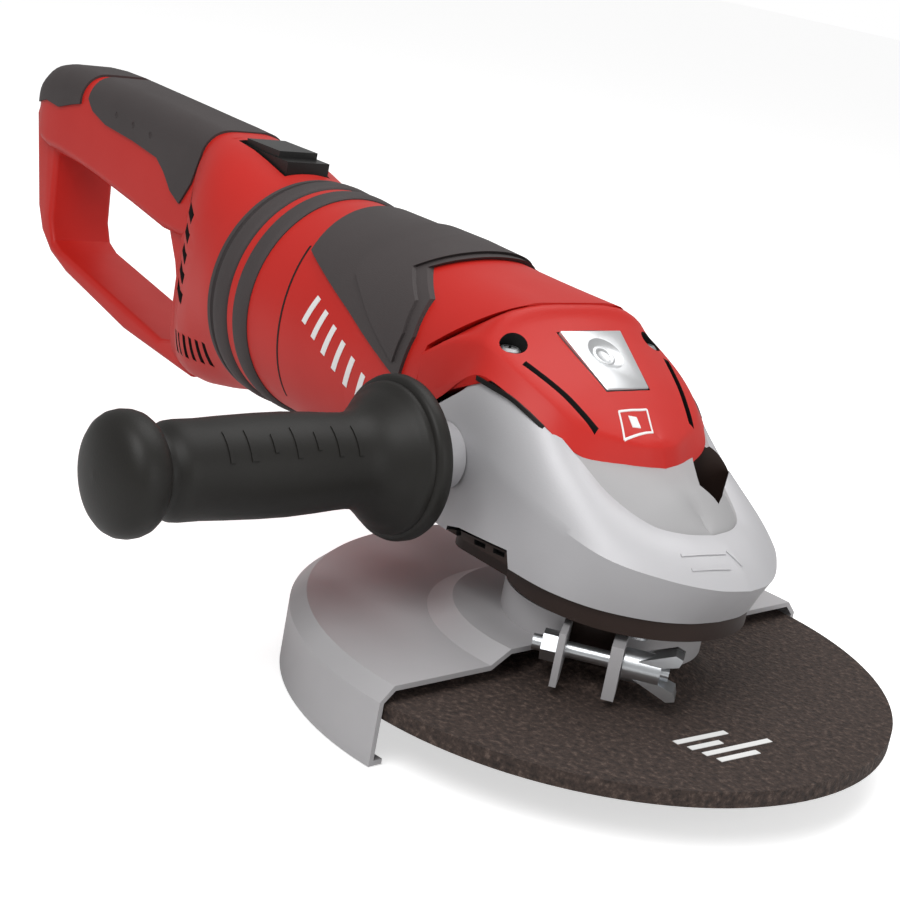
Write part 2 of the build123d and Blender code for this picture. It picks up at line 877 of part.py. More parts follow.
button_x = -252.0
trigger_pivot_x = -366.0
trigger_pivot_z = seat + 97.0
trigger_pin_radius = 1.5
gland_z = seat + 66.0
gland_radius = 8.0
gland_end = -434.0
screw_head_radius = 2.8
screw_head_depth = 2.2
screw_shank_radius = 1.6
handle_screw_places = at_seat([(-442, 84), (-360, 33.8), (-303, 28)])
with BuildPart() as handle_body:
    add(bars.part)
    add(top_bar.part)
    add(flare(0))
    add(side_prism(hand_opening, 60).part, mode=Mode.SUBTRACT)
    add(flare(3.5), mode=Mode.SUBTRACT)
    # the rear ring's seat and the room for the housing's neck
    with BuildSketch(Plane.YZ.offset(handle_front)):
        with Locations((0, axis_z)):
            Circle(45.5)
    extrude(amount=-6, mode=Mode.SUBTRACT)
    # switch chamber in the top bar, the trigger's slot and the lock button's well
    with BuildSketch(Plane.XZ.offset(-17)):
        with Locations((-360, seat + 116)):
            Rectangle(152, 34)
    extrude(amount=34, mode=Mode.SUBTRACT)
    with BuildSketch(Plane.XY.offset(seat + 80)):
        with Locations((-342, 0)):
            Rectangle(70, 16.8)
    extrude(amount=22, mode=Mode.SUBTRACT)
    with BuildSketch(Plane.XY.offset(seat + 120)):
        with Locations((button_x, 0)):
            Rectangle(38, 24)
    extrude(amount=30, mode=Mode.SUBTRACT)
    with BuildSketch(Plane.XZ.offset(-11)):
        with Locations((trigger_pivot_x, trigger_pivot_z)):
            Circle(trigger_pin_radius)
    extrude(amount=22, mode=Mode.SUBTRACT)
    # cable inlet through the rear bar
    with BuildSketch(Plane.YZ.offset(-470)):
        with Locations((0, gland_z)):
            Circle(gland_radius)
    extrude(amount=gland_end + 470, mode=Mode.SUBTRACT)
    # the screws that join the two halves, headed on the left
    with BuildSketch(Plane.XZ.offset(-bar_half_width)):
        with Locations(*handle_screw_places):
            Circle(screw_head_radius)
    extrude(amount=screw_head_depth, mode=Mode.SUBTRACT)
    with BuildSketch(Plane.XZ.offset(-bar_half_width + screw_head_depth)):
        with Locations(*handle_screw_places):
            Circle(screw_shank_radius)
    extrude(amount=26, mode=Mode.SUBTRACT)
    # air slots on both flanks
    for slot in range(4):
        with BuildSketch(Plane.XZ.offset(-60)):
            with Locations((-262 + 1.5 * slot, seat + 102 - 9 * slot)):
                SlotOverall(20, 3.6, rotation=-12)
        extrude(amount=120, mode=Mode.SUBTRACT)
    for slot in range(5):
        with BuildSketch(Plane.XZ.offset(-60)):
            with Locations((-262 + 6 * slot, seat + 40)):
                SlotOverall(13, 2.4, rotation=80)
        extrude(amount=120, mode=Mode.SUBTRACT)

for side_name, kept in (("left", Keep.BOTTOM), ("right", Keep.TOP)):
    with BuildPart() as half:
        add(handle_body.part)
        split(bisect_by=Plane.XZ, keep=kept)
    save(half, f"handle_shell_{side_name}")

grip_skin = 1.6
main_grip_outline = [
    (-398, 143.6),
    (-392, 128),
    (-372, 121),
    (-322, 116),
    (-312, 108),
    (-298, 101),
    (-289, 120),
    (-284, 139.9),
    (-300, 140.6),
]
rear_grip_outline = [(-449, 119), (-425, 123), (-401, 123), (-405, 143.6), (-440, 142.6), (-453, 135)]
for grip_name, outline in (("main_grip", main_grip_outline), ("rear_grip", rear_grip_outline)):
    with BuildPart() as grip:
        add(side_prism(outline, grip_half_width + grip_skin).part)
        chamfer(grip.edges().filter_by(Axis.Y, reverse=True).group_by(Axis.Z)[-1], 2)
        add(top_bar.part, mode=Mode.SUBTRACT)
        add(bars.part, mode=Mode.SUBTRACT)
        add(flare(0), mode=Mode.SUBTRACT)
    save(grip, grip_name)

with BuildPart() as handle_screws:
    with BuildSketch(Plane.XZ.offset(-bar_half_width + 0.3)):
        with Locations(*handle_screw_places):
            Circle(screw_head_radius)
    extrude(amount=screw_head_depth - 0.3)
    with BuildSketch(Plane.XZ.offset(-bar_half_width + screw_head_depth)):
        with Locations(*handle_screw_places):
            Circle(screw_shank_radius)
    extrude(amount=26)
save(handle_screws, "handle_screws")

# --- trigger, its pin and spring, switch ---
with BuildPart() as trigger:
    with BuildSketch(Plane.XZ.offset(-7.8)):
        with BuildLine():
            Polyline(
                *at_seat([(-371, 99), (-371, 94.5), (-352, 89), (-316, 82.5), (-309.5, 85), (-309.5, 99)]),
                close=True,
            )
        make_face()
    extrude(amount=15.6)
    with BuildSketch(Plane.XZ.offset(-9)):
        with Locations((trigger_pivot_x, trigger_pivot_z)):
            Circle(trigger_pin_radius + fit_gap)
    extrude(amount=18, mode=Mode.SUBTRACT)
    with BuildSketch(Plane.XY.offset(seat + 80)):
        with Locations((-366, 0)):
            Rectangle(12, 6.4)
    extrude(amount=25, mode=Mode.SUBTRACT)
save(trigger, "trigger")

with BuildPart() as trigger_pin:
    with BuildSketch(Plane.XZ.offset(-11)):
        with Locations((trigger_pivot_x, trigger_pivot_z)):
            Circle(trigger_pin_radius)
    extrude(amount=22)
save(trigger_pin, "trigger_pin")

with BuildPart() as trigger_spring:
    with BuildSketch(Plane.XZ.offset(-2.6)):
        with Locations((trigger_pivot_x, trigger_pivot_z)):
            Circle(3.0)
            Circle(trigger_pin_radius, mode=Mode.SUBTRACT)
    extrude(amount=5.2)
save(trigger_spring, "trigger_spring")

with BuildPart() as switch_module:
    with BuildSketch(Plane.XY.offset(seat + 109)):
        with Locations((-326, 0)):
            Rectangle(50, 24)
    extrude(amount=24)
    fillet(switch_module.edges().filter_by(Axis.Z), 2)
    with BuildSketch(Plane.XY.offset(seat + 106.5)):
        with Locations((-322, 0)):
            Circle(2.5)
    extrude(amount=2.5)
save(switch_module, "switch_module")

# --- swivel lock button and spring ---
button_top = seat + 139.0
button_bottom = seat + 122.0
spring_bottom = seat + 108.0
with BuildPart() as swivel_lock_button:
    with BuildSketch(Plane.XY.offset(button_bottom)):
        with Locations((button_x, 0)):
            Rectangle(37, 23)
    extrude(amount=button_top - 3 - button_bottom)
    with BuildSketch(Plane.XY.offset(button_top - 3)):
        with Locations((button_x - 4, 0)):
            Rectangle(27, 21)
    extrude(amount=3)
save(swivel_lock_button, "swivel_lock_button")
save(tube_z(5.0, 3.4, spring_bottom, button_bottom, x=button_x), "swivel_lock_spring")

with BuildPart() as lock_bracket:
    with BuildSketch(Plane.XY.offset(spring_bottom - 3)):
        with Locations((button_x, 0)):
            Rectangle(44, 120)
    extrude(amount=3)
    add(flare(3.5), mode=Mode.INTERSECT)
save(lock_bracket, "lock_bracket")

# --- cable gland at the lower rear corner ---
cable_radius = 4.2
with BuildPart() as cable_gland:
    with BuildSketch(Plane.YZ.offset(-466)):
        with Locations((0, gland_z)):
            Circle(6.5)
    with BuildSketch(Plane.YZ.offset(-446)):
        with Locations((0, gland_z)):
            Circle(gland_radius)
    loft()
    with BuildSketch(Plane.YZ.offset(-446)):
        with Locations((0, gland_z)):
            Circle(gland_radius)
    extrude(amount=gland_end + 446)
    with BuildSketch(Plane.YZ.offset(-466)):
        with Locations((0, gland_z)):
            Circle(cable_radius)
    extrude(amount=32, mode=Mode.SUBTRACT)
save(cable_gland, "cable_gland")

# --- side handle ---
stud_radius = 6.0
side_handle_grip = turned_handle(
    [
        (70, stud_radius),
        (70, 31),
        (75.5, 31),
        (78, 29.5),
        (79, 25.5),
        (84, 24),
        (89, 19.5),
        (94, 17.6),
        (110, 18.2),
        (130, 18.6),
        (152, 18.2),
        (168, 17.6),
        (174, 17.2),
        (176, 15.6),
        (179, 15.6),
        (179, 7),
        (92, 7),
        (92, stud_radius),
    ]
)
save(side_handle_grip, "side_handle_grip")
side_handle_cap = turned_handle(
    [
        (179, 0),
        (179, 18.5),
        (182, 21),
        (186, 21.8),
        (190, 21.6),
        (194, 19.5),
        (197, 14.5),
        (198.5, 8),
        (199, 0),
    ]
)
save(side_handle_cap, "side_handle_cap")
save(turned_handle([(30, 0), (30, stud_radius), (90, stud_radius), (90, 0)]), "side_handle_stud")
save(
    turned_handle([(58, stud_radius), (58, 9), (66, 9), (66, 11), (70, 11), (70, stud_radius)]),
    "side_handle_washer",
)
save(turned_handle([(50, 6.0), (50, 13), (58, 12), (58, 6.0)]), "handle_boss")

# --- guard: half shell, collar with lugs, clamp ---
with BuildPart() as guard_shell:
    with BuildSketch(Plane.XZ):
        with BuildLine():
            Polyline(
                (39, seat + 9.5),
                (57, seat + 9.5),
                (66, guard_plate_z),
                (112, guard_plate_z),
                (116.5, guard_plate_z - 4),
                (116.5, guard_skirt_z + 2),
                (112.5, guard_skirt_z + 2),
                (112.5, guard_skirt_z),
                (guard_radius, guard_skirt_z),
                (guard_radius, guard_plate_z - 3.4),
                (112.8, guard_plate_z + 2),
                (66.6, guard_plate_z + 2),
                (57.6, seat + 11.5),
                (39, seat + 11.5),
                close=True,
            )
        make_face()
    revolve(axis=Axis.Z)
    with BuildSketch(Plane.XY.offset(guard_skirt_z - 5)):
        with Locations((108, 0)):
            Rectangle(200, 300)
    extrude(amount=60, mode=Mode.SUBTRACT)
guard_shell.part = guard_shell.part.rotate(Axis.Z, guard_turn)
save(guard_shell, "guard_shell")

collar_inner = neck_radius + gap
collar_outer = 39.0
collar_bottom = seat + 9.0
collar_top = seat + 23.0
clamp_angle = -50.0
clamp_reach = 47.0
clamp_z = seat + 15.0
lug_places = [(-10.5, 2.5), (8.5, 4.5)]
lug_outline = [(34, 24), (57, 24), (57, 3.5), (47.5, 3.5), (41, 7.5), (34, 9)]
clamp_plane = Plane(
    origin=(0, 0, 0),
    x_dir=(math.cos(math.radians(clamp_angle)), math.sin(math.radians(clamp_angle)), 0),
    z_dir=(-math.sin(math.radians(clamp_angle)), math.cos(math.radians(clamp_angle)), 0),
)


def along_bolt(start, end, outer, inner=0.0, sides=0):
    """A tube, rod or prism on the clamp bolt's axis, between two distances along it."""
    with BuildPart() as piece:
        with BuildSketch(clamp_plane.offset(start)):
            with Locations((clamp_reach, -clamp_z)):
                if sides:
                    RegularPolygon(outer, sides)
                else:
                    Circle(outer)
                if inner > 0:
                    Circle(inner, mode=Mode.SUBTRACT)
        extrude(amount=end - start)
    return piece


with BuildPart() as guard_collar:
    with BuildSketch(Plane.XY.offset(collar_bottom)):
        Circle(collar_outer)
        Circle(collar_inner, mode=Mode.SUBTRACT)
    extrude(amount=collar_top - collar_bottom)
    for start, thickness in lug_places:
        with BuildSketch(clamp_plane.offset(start)):
            with BuildLine():
                Polyline(*[(reach, -seat - z) for reach, z in lug_outline], close=True)
            make_face()
        extrude(amount=thickness)
        with BuildSketch(clamp_plane.offset(start)):
            with Locations((clamp_reach, -clamp_z)):
                Circle(3.2)
        extrude(amount=thickness, mode=Mode.SUBTRACT)
    with BuildSketch(clamp_plane.offset(lug_places[0][0] + lug_places[0][1])):
        with Locations((collar_outer, -clamp_z)):
            Rectangle(18, 30)
    extrude(amount=lug_places[1][0] - lug_places[0][0] - lug_places[0][1], mode=Mode.SUBTRACT)
    with BuildSketch(Plane.XY.offset(collar_bottom - 5)):
        Circle(collar_inner)
    extrude(amount=collar_top - collar_bottom + 10, mode=Mode.SUBTRACT)
save(guard_collar, "guard_collar")

bolt_radius = 3.0
save(along_bolt(-20, 30, bolt_radius), "clamp_bolt")
save(along_bolt(-16.5, -10.5, 5.8, bolt_radius, sides=6), "clamp_hex_nut")

wing_plane = Plane(
    origin=(0, 0, 0),
    x_dir=(-math.sin(math.radians(clamp_angle)), math.cos(math.radians(clamp_angle)), 0),
    z_dir=(math.cos(math.radians(clamp_angle)), math.sin(math.radians(clamp_angle)), 0),
)
wing_half = [(18, 3.5), (24, 6), (31, 9), (34, 8), (33, 5), (27, 3.2)]
with BuildPart() as wing_nut:
    add(along_bolt(13.4, 27, 6.0, bolt_radius + fit_gap).part)
    for direction in (-1, 1):
        with BuildSketch(wing_plane.offset(clamp_reach - 5)):
            with BuildLine():
                Polyline(*[(t, clamp_z + direction * h) for t, h in wing_half], close=True)
            make_face()
        extrude(amount=10)
    add(along_bolt(10, 40, bolt_radius + fit_gap).part, mode=Mode.SUBTRACT)
save(wing_nut, "wing_nut")
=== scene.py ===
import json
import math

import bmesh
import bpy
from mathutils import Matrix, Vector


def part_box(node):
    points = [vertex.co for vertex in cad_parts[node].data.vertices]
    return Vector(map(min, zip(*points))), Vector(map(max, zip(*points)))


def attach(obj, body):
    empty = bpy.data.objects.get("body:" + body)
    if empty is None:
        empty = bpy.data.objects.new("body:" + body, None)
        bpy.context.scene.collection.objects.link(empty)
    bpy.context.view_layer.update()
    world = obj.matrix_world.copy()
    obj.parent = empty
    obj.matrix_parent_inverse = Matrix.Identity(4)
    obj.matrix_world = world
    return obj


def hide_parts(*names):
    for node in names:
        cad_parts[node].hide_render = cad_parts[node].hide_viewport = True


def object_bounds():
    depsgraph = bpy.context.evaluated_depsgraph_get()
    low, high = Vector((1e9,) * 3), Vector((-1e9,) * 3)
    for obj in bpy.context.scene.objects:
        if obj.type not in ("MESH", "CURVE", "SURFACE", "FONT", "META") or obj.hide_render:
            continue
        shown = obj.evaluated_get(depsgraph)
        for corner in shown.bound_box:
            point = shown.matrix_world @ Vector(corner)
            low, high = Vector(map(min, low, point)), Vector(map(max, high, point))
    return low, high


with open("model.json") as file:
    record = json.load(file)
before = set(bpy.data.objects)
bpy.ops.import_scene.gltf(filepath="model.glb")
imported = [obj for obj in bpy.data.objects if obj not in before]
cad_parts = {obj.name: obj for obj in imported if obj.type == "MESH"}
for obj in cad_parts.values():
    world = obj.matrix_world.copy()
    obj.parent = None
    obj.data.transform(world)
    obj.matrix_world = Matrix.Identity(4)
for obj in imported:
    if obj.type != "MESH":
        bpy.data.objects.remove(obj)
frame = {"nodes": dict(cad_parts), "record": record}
nodes = frame["nodes"]
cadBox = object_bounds()
scene = bpy.context.scene
print("stage: frame loaded with", len(nodes), "nodes")

# heights and stations that every piece below is built from, in millimetres
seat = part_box("handle_boss")[0].z * 1000 - 50.4  # upper face of the disc's rim
axisHeight = (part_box("armature_shaft")[0].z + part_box("armature_shaft")[1].z) * 500
handleX = (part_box("side_handle_stud")[0].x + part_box("side_handle_stud")[1].x) * 500
handleHeight = (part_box("side_handle_stud")[0].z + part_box("side_handle_stud")[1].z) * 500


# shader groups
def startGroup(name, inputs, outputs):
    group = bpy.data.node_groups.new(name, "ShaderNodeTree")
    for label, kind, value in inputs:
        socket = group.interface.new_socket(name=label, in_out="INPUT", socket_type=kind)
        socket.default_value = value
    for label, kind in outputs:
        group.interface.new_socket(name=label, in_out="OUTPUT", socket_type=kind)
    return group, group.nodes.new("NodeGroupInput"), group.nodes.new("NodeGroupOutput")


def colourNode(group, blend, factor):
    mix = group.nodes.new("ShaderNodeMix")
    mix.data_type = "RGBA"
    mix.blend_type = blend
    mix.inputs[0].default_value = factor
    return mix


floatSocket = "NodeSocketFloat"
colourSocket = "NodeSocketColor"

# fine moulded or cast texture as a normal
grainGroup, gIn, gOut = startGroup(
    "grain",
    [("Size", floatSocket, 900.0), ("Depth", floatSocket, 0.1), ("Roundness", floatSocket, 0.5)],
    [("Normal", "NodeSocketVector")],
)
coords = grainGroup.nodes.new("ShaderNodeTexCoord")
noise = grainGroup.nodes.new("ShaderNodeTexNoise")
noise.inputs["Detail"].default_value = 3.0
bump = grainGroup.nodes.new("ShaderNodeBump")
bump.inputs["Distance"].default_value = 0.0004
grainGroup.links.new(coords.outputs["Object"], noise.inputs["Vector"])
grainGroup.links.new(gIn.outputs["Size"], noise.inputs["Scale"])
grainGroup.links.new(gIn.outputs["Roundness"], noise.inputs["Roughness"])
grainGroup.links.new(noise.outputs["Fac"], bump.inputs["Height"])
grainGroup.links.new(gIn.outputs["Depth"], bump.inputs["Strength"])
grainGroup.links.new(bump.outputs["Normal"], gOut.inputs["Normal"])

# slow drift of tone and gloss over a surface
driftGroup, dIn, dOut = startGroup(
    "drift",
    [
        ("Base", colourSocket, (0.5, 0.5, 0.5, 1)),
        ("Shade", colourSocket, (0.4, 0.4, 0.4, 1)),
        ("Size", floatSocket, 25.0),
        ("Gloss", floatSocket, 0.4),
        ("Spread", floatSocket, 0.1),
    ],
    [("Color", colourSocket), ("Roughness", floatSocket)],
)
coords = driftGroup.nodes.new("ShaderNodeTexCoord")
noise = driftGroup.nodes.new("ShaderNodeTexNoise")
noise.inputs["Detail"].default_value = 5.0
mix = colourNode(driftGroup, "MIX", 0.5)
spread = driftGroup.nodes.new("ShaderNodeMath")
spread.operation = "MULTIPLY_ADD"
driftGroup.links.new(coords.outputs["Object"], noise.inputs["Vector"])
driftGroup.links.new(dIn.outputs["Size"], noise.inputs["Scale"])
driftGroup.links.new(noise.outputs["Fac"], mix.inputs[0])
driftGroup.links.new(dIn.outputs["Base"], mix.inputs[6])
driftGroup.links.new(dIn.outputs["Shade"], mix.inputs[7])
driftGroup.links.new(noise.outputs["Fac"], spread.inputs[0])
driftGroup.links.new(dIn.outputs["Spread"], spread.inputs[1])
driftGroup.links.new(dIn.outputs["Gloss"], spread.inputs[2])
driftGroup.links.new(mix.outputs[2], dOut.inputs["Color"])
driftGroup.links.new(spread.outputs[0], dOut.inputs["Roughness"])


def makeFinish(
    name, base, shade, gloss, spread=0.1, metallic=0.0, coat=0.0, size=30.0, grain=900.0, depth=0.1,
):
    finish = bpy.data.materials.new(name)
    finish.use_nodes = True
    finish.diffuse_color = (*base, 1)
    tree = finish.node_tree
    shader = tree.nodes["Principled BSDF"]
    shader.inputs["Metallic"].default_value = metallic
    shader.inputs["Coat Weight"].default_value = coat
    shader.inputs["Coat Roughness"].default_value = 0.25
    shader.inputs["Specular IOR Level"].default_value = 0.3
    drift = tree.nodes.new("ShaderNodeGroup")
    drift.node_tree = driftGroup
    drift.inputs["Base"].default_value = (*base, 1)
    drift.inputs["Shade"].default_value = (*shade, 1)
    drift.inputs["Size"].default_value = size
    drift.inputs["Gloss"].default_value = gloss
    drift.inputs["Spread"].default_value = spread
    texture = tree.nodes.new("ShaderNodeGroup")
    texture.node_tree = grainGroup
    texture.inputs["Size"].default_value = grain
    texture.inputs["Depth"].default_value = depth
    tree.links.new(drift.outputs["Color"], shader.inputs["Base Color"])
    tree.links.new(drift.outputs["Roughness"], shader.inputs["Roughness"])
    tree.links.new(texture.outputs["Normal"], shader.inputs["Normal"])
    return finish


finishes = {
    "red": makeFinish(
        "redPlastic", (0.55, 0.018, 0.012), (0.5, 0.015, 0.01), 0.4, 0.12, coat=0.04, depth=0.05,
    ),
    "grip": makeFinish(
        "softGrip", (0.062, 0.052, 0.052), (0.05, 0.042, 0.042), 0.55, 0.15, grain=1800, depth=0.25,
    ),
    "black": makeFinish(
        "blackPlastic", (0.012, 0.012, 0.012), (0.018, 0.017, 0.016), 0.3, 0.12, grain=1200,
    ),
    "handle": makeFinish(
        "handlePlastic", (0.014, 0.013, 0.011), (0.01, 0.009, 0.008), 0.42, 0.16, grain=1400,
        depth=0.12,
    ),
    "silver": makeFinish(
        "castSilver", (0.55, 0.545, 0.56), (0.5, 0.495, 0.51), 0.46, 0.12, 0.3, 0.0, grain=1500,
        depth=0.1,
    ),
    # darker silver for the deck: painted shade, with a little more roughness
    "deck": makeFinish(
        "deckPaintedShade", (0.42, 0.415, 0.42), (0.38, 0.375, 0.38), 0.55, 0.1, 0.25, grain=1500, depth=0.12,
    ),
    "guard": makeFinish(
        "guardSilver", (0.5, 0.49, 0.5), (0.45, 0.44, 0.45), 0.45, 0.14, 0.35, grain=700, depth=0.06,
    ),
    "flange": makeFinish(
        "darkCoat", (0.035, 0.02, 0.016), (0.026, 0.016, 0.013), 0.42, 0.15, 0.2, grain=1100,
    ),
    "zinc": makeFinish(
        "brightZinc", (0.66, 0.68, 0.7), (0.58, 0.6, 0.62), 0.2, 0.16, 0.95, grain=700, depth=0.06,
    ),
    "steel": makeFinish("machinedSteel", (0.5, 0.5, 0.51), (0.42, 0.42, 0.43), 0.3, 0.15, 0.95, grain=500),
    "plate": makeFinish(
        "satinPlate", (0.74, 0.75, 0.76), (0.68, 0.69, 0.7), 0.24, 0.12, 0.85, grain=900, depth=0.05,
    ),
    "copper": makeFinish(
        "enamelledCopper", (0.6, 0.24, 0.1), (0.45, 0.17, 0.07), 0.32, 0.15, 0.8, size=300,
    ),
    "brass": makeFinish("drawnBrass", (0.68, 0.5, 0.22), (0.6, 0.42, 0.18), 0.3, 0.12, 0.9),
    "white": makeFinish("whitePrint", (0.85, 0.85, 0.84), (0.78, 0.78, 0.77), 0.5, 0.1, depth=0.02),
    "dark": makeFinish("shadowGap", (0.006, 0.006, 0.006), (0.01, 0.01, 0.01), 0.7, 0.1),
}


# the bonded grit: dark grains, lighter grains and pits over one coarse pattern
def makeGrit():
    values = {"grainScale": 620.0, "fleckScale": 420.0, "bumpDistance": 0.0011}
    finish = bpy.data.materials.new("bondedGrit")
    finish.use_nodes = True
    tree = finish.node_tree
    shader = tree.nodes["Principled BSDF"]
    shader.inputs["Roughness"].default_value = 0.82
    coords = tree.nodes.new("ShaderNodeTexCoord")
    cells = tree.nodes.new("ShaderNodeTexVoronoi")
    cells.inputs["Scale"].default_value = values["grainScale"]
    flecks = tree.nodes.new("ShaderNodeTexNoise")
    flecks.inputs["Scale"].default_value = values["fleckScale"]
    flecks.inputs["Detail"].default_value = 6.0
    flecks.inputs["Roughness"].default_value = 0.7
    ramp = tree.nodes.new("ShaderNodeValToRGB")
    ramp.color_ramp.elements[0].position = 0.36
    ramp.color_ramp.elements[0].color = (0.016, 0.009, 0.007, 1)
    ramp.color_ramp.elements[1].position = 0.72
    ramp.color_ramp.elements[1].color = (0.15, 0.105, 0.085, 1)
    middle = ramp.color_ramp.elements.new(0.54)
    middle.color = (0.05, 0.031, 0.024, 1)
    joined = tree.nodes.new("ShaderNodeMath")
    joined.operation = "MULTIPLY_ADD"
    joined.inputs[1].default_value = 0.6
    bump = tree.nodes.new("ShaderNodeBump")
    bump.inputs["Distance"].default_value = values["bumpDistance"]
    bump.inputs["Strength"].default_value = 0.9
    tree.links.new(coords.outputs["Object"], cells.inputs["Vector"])
    tree.links.new(coords.outputs["Object"], flecks.inputs["Vector"])
    tree.links.new(flecks.outputs["Fac"], ramp.inputs["Fac"])
    tree.links.new(ramp.outputs["Color"], shader.inputs["Base Color"])
    tree.links.new(cells.outputs["Distance"], joined.inputs[0])
    tree.links.new(flecks.outputs["Fac"], joined.inputs[2])
    tree.links.new(joined.outputs[0], bump.inputs["Height"])
    tree.links.new(bump.outputs["Normal"], shader.inputs["Normal"])
    return finish


finishes["grit"] = makeGrit()
print("stage: finishes made")


# mesh helpers
def pieceFrom(name, points, faces):
    mesh = bpy.data.meshes.new(name)
    mesh.from_pydata([Vector(p) * 0.001 for p in points], [], faces)
    obj = bpy.data.objects.new(name, mesh)
    scene.collection.objects.link(obj)
    return obj


def loftRings(name, rings, capStart=True, capEnd=True):
    count = len(rings[0])
    points = [p for ring in rings for p in ring]
    faces = []
    for r in range(len(rings) - 1):
        for i in range(count):
            j = (i + 1) % count
            faces.append((r * count + i, r * count + j, (r + 1) * count + j, (r + 1) * count + i))
    if capStart:
        faces.append(tuple(reversed(range(count))))
    if capEnd:
        faces.append(tuple(range((len(rings) - 1) * count, len(rings) * count)))
    return pieceFrom(name, points, faces)


def latheAround(name, profile, centre, along, steps=96):
    # profile rows are (distance along the axis, radius); along is a unit vector
    along = Vector(along).normalized()
    side = along.orthogonal().normalized()
    up = along.cross(side)
    rings = []
    for distance, radius in profile:
        ring = []
        for i in range(steps):
            turn = 2 * math.pi * i / steps
            ring.append(
                Vector(centre) + along * distance + (side * math.cos(turn) + up * math.sin(turn)) * radius
            )
        rings.append(ring)
    closed = profile[0] == profile[-1]
    if closed:
        count = steps
        rings = rings[:-1]
        points = [p for ring in rings for p in ring]
        faces = []
        for r in range(len(rings)):
            s = (r + 1) % len(rings)
            for i in range(count):
                j = (i + 1) % count
                faces.append((r * count + i, r * count + j, s * count + j, s * count + i))
        return pieceFrom(name, points, faces)
    return loftRings(name, rings)


def sideSlab(name, outline, low, high):
    # a side-view outline (x, height above the seat) between two y stations
    front = [(x, low, seat + z) for x, z in outline]
    back = [(x, high, seat + z) for x, z in outline]
    return loftRings(name, [front, back])


def smoothLine(keys, count):
    # Catmull-Rom through the key points, evenly spaced in parameter
    line = []
    for i in range(count):
        t = i / (count - 1) * (len(keys) - 1)
        k = min(int(t), len(keys) - 2)
        f = t - k
        p1, p2 = Vector(keys[k]), Vector(keys[k + 1])
        p0 = Vector(keys[k - 1]) if k > 0 else p1 * 2 - p2
        p3 = Vector(keys[k + 2]) if k + 2 < len(keys) else p2 * 2 - p1
        line.append(
            0.5 * (
                2 * p1 + (p2 - p0) * f + (
                    2 * p0 - 5 * p1 + 4 * p2 - p3
                ) * f * f + (3 * p1 - p0 - 3 * p2 + p3) * f**3
            )
        )
    return line


def skinned(name, lines):
    # half lines from rear to tip on the -Y side, mirrored to +Y; lines run from the bottom edge to the middle
    count = len(lines[0])
    rows = []
    for line in lines:
        left = [Vector((p.x, p.y, p.z)) for p in line]
        right = [Vector((p.x, -p.y, p.z)) for p in reversed(line[:-1])]
        rows.append(left + right)
    width = len(rows[0])
    points = [p for row in rows for p in row]
    faces = []
    for r in range(len(rows) - 1):
        for i in range(width - 1):
            faces.append((r * width + i, r * width + i + 1, (r + 1) * width + i + 1, (r + 1) * width + i))
    faces.append(tuple(reversed(range(width))))
    rear = [r * width for r in range(len(rows))] + [
        r * width + width - 1
        for r in reversed(range(len(rows)))
    ]
    faces.append(tuple(rear))
    obj = pieceFrom(name, points, faces)
    work = bmesh.new()
    work.from_mesh(obj.data)
    bmesh.ops.remove_doubles(work, verts=work.verts, dist=0.00002)
    work.to_mesh(obj.data)
    work.free()
    return obj


def bake(obj):
    graph = bpy.context.evaluated_depsgraph_get()
    mesh = bpy.data.meshes.new_from_object(obj.evaluated_get(graph))
    obj.modifiers.clear()
    obj.data = mesh
    return obj


def outward(obj, angle=32.0):
    work = bmesh.new()
    work.from_mesh(obj.data)
    bmesh.ops.recalc_face_normals(work, faces=work.faces)
    work.to_mesh(obj.data)
    work.free()
    obj.data.shade_smooth()
    obj.data.set_sharp_from_angle(angle=math.radians(angle))


def roundEdges(obj, width, segments=3, angle=30.0):
    bevel = obj.modifiers.new("edges", "BEVEL")
    bevel.width = width * 0.001
    bevel.segments = segments
    bevel.limit_method = "ANGLE"
    bevel.angle_limit = math.radians(angle)
    return bake(obj)


def cutAway(obj, cutters):
    outward(obj)
    for cutter in cutters:
        outward(cutter)
        cut = obj.modifiers.new("cut", "BOOLEAN")
        cut.operation = "DIFFERENCE"
        cut.solver = "EXACT"
        cut.object = cutter
        cut.material_mode = "TRANSFER"
        bake(obj)
        bpy.data.objects.remove(cutter)
    return obj


def paint(obj, finish):
    obj.data.materials.clear()
    obj.data.materials.append(finishes[finish])
    return obj


def settle(obj, body, replaced=(), angle=32.0):
    outward(obj, angle)
    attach(obj, body)
    if replaced:
        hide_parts(*replaced)
    return obj
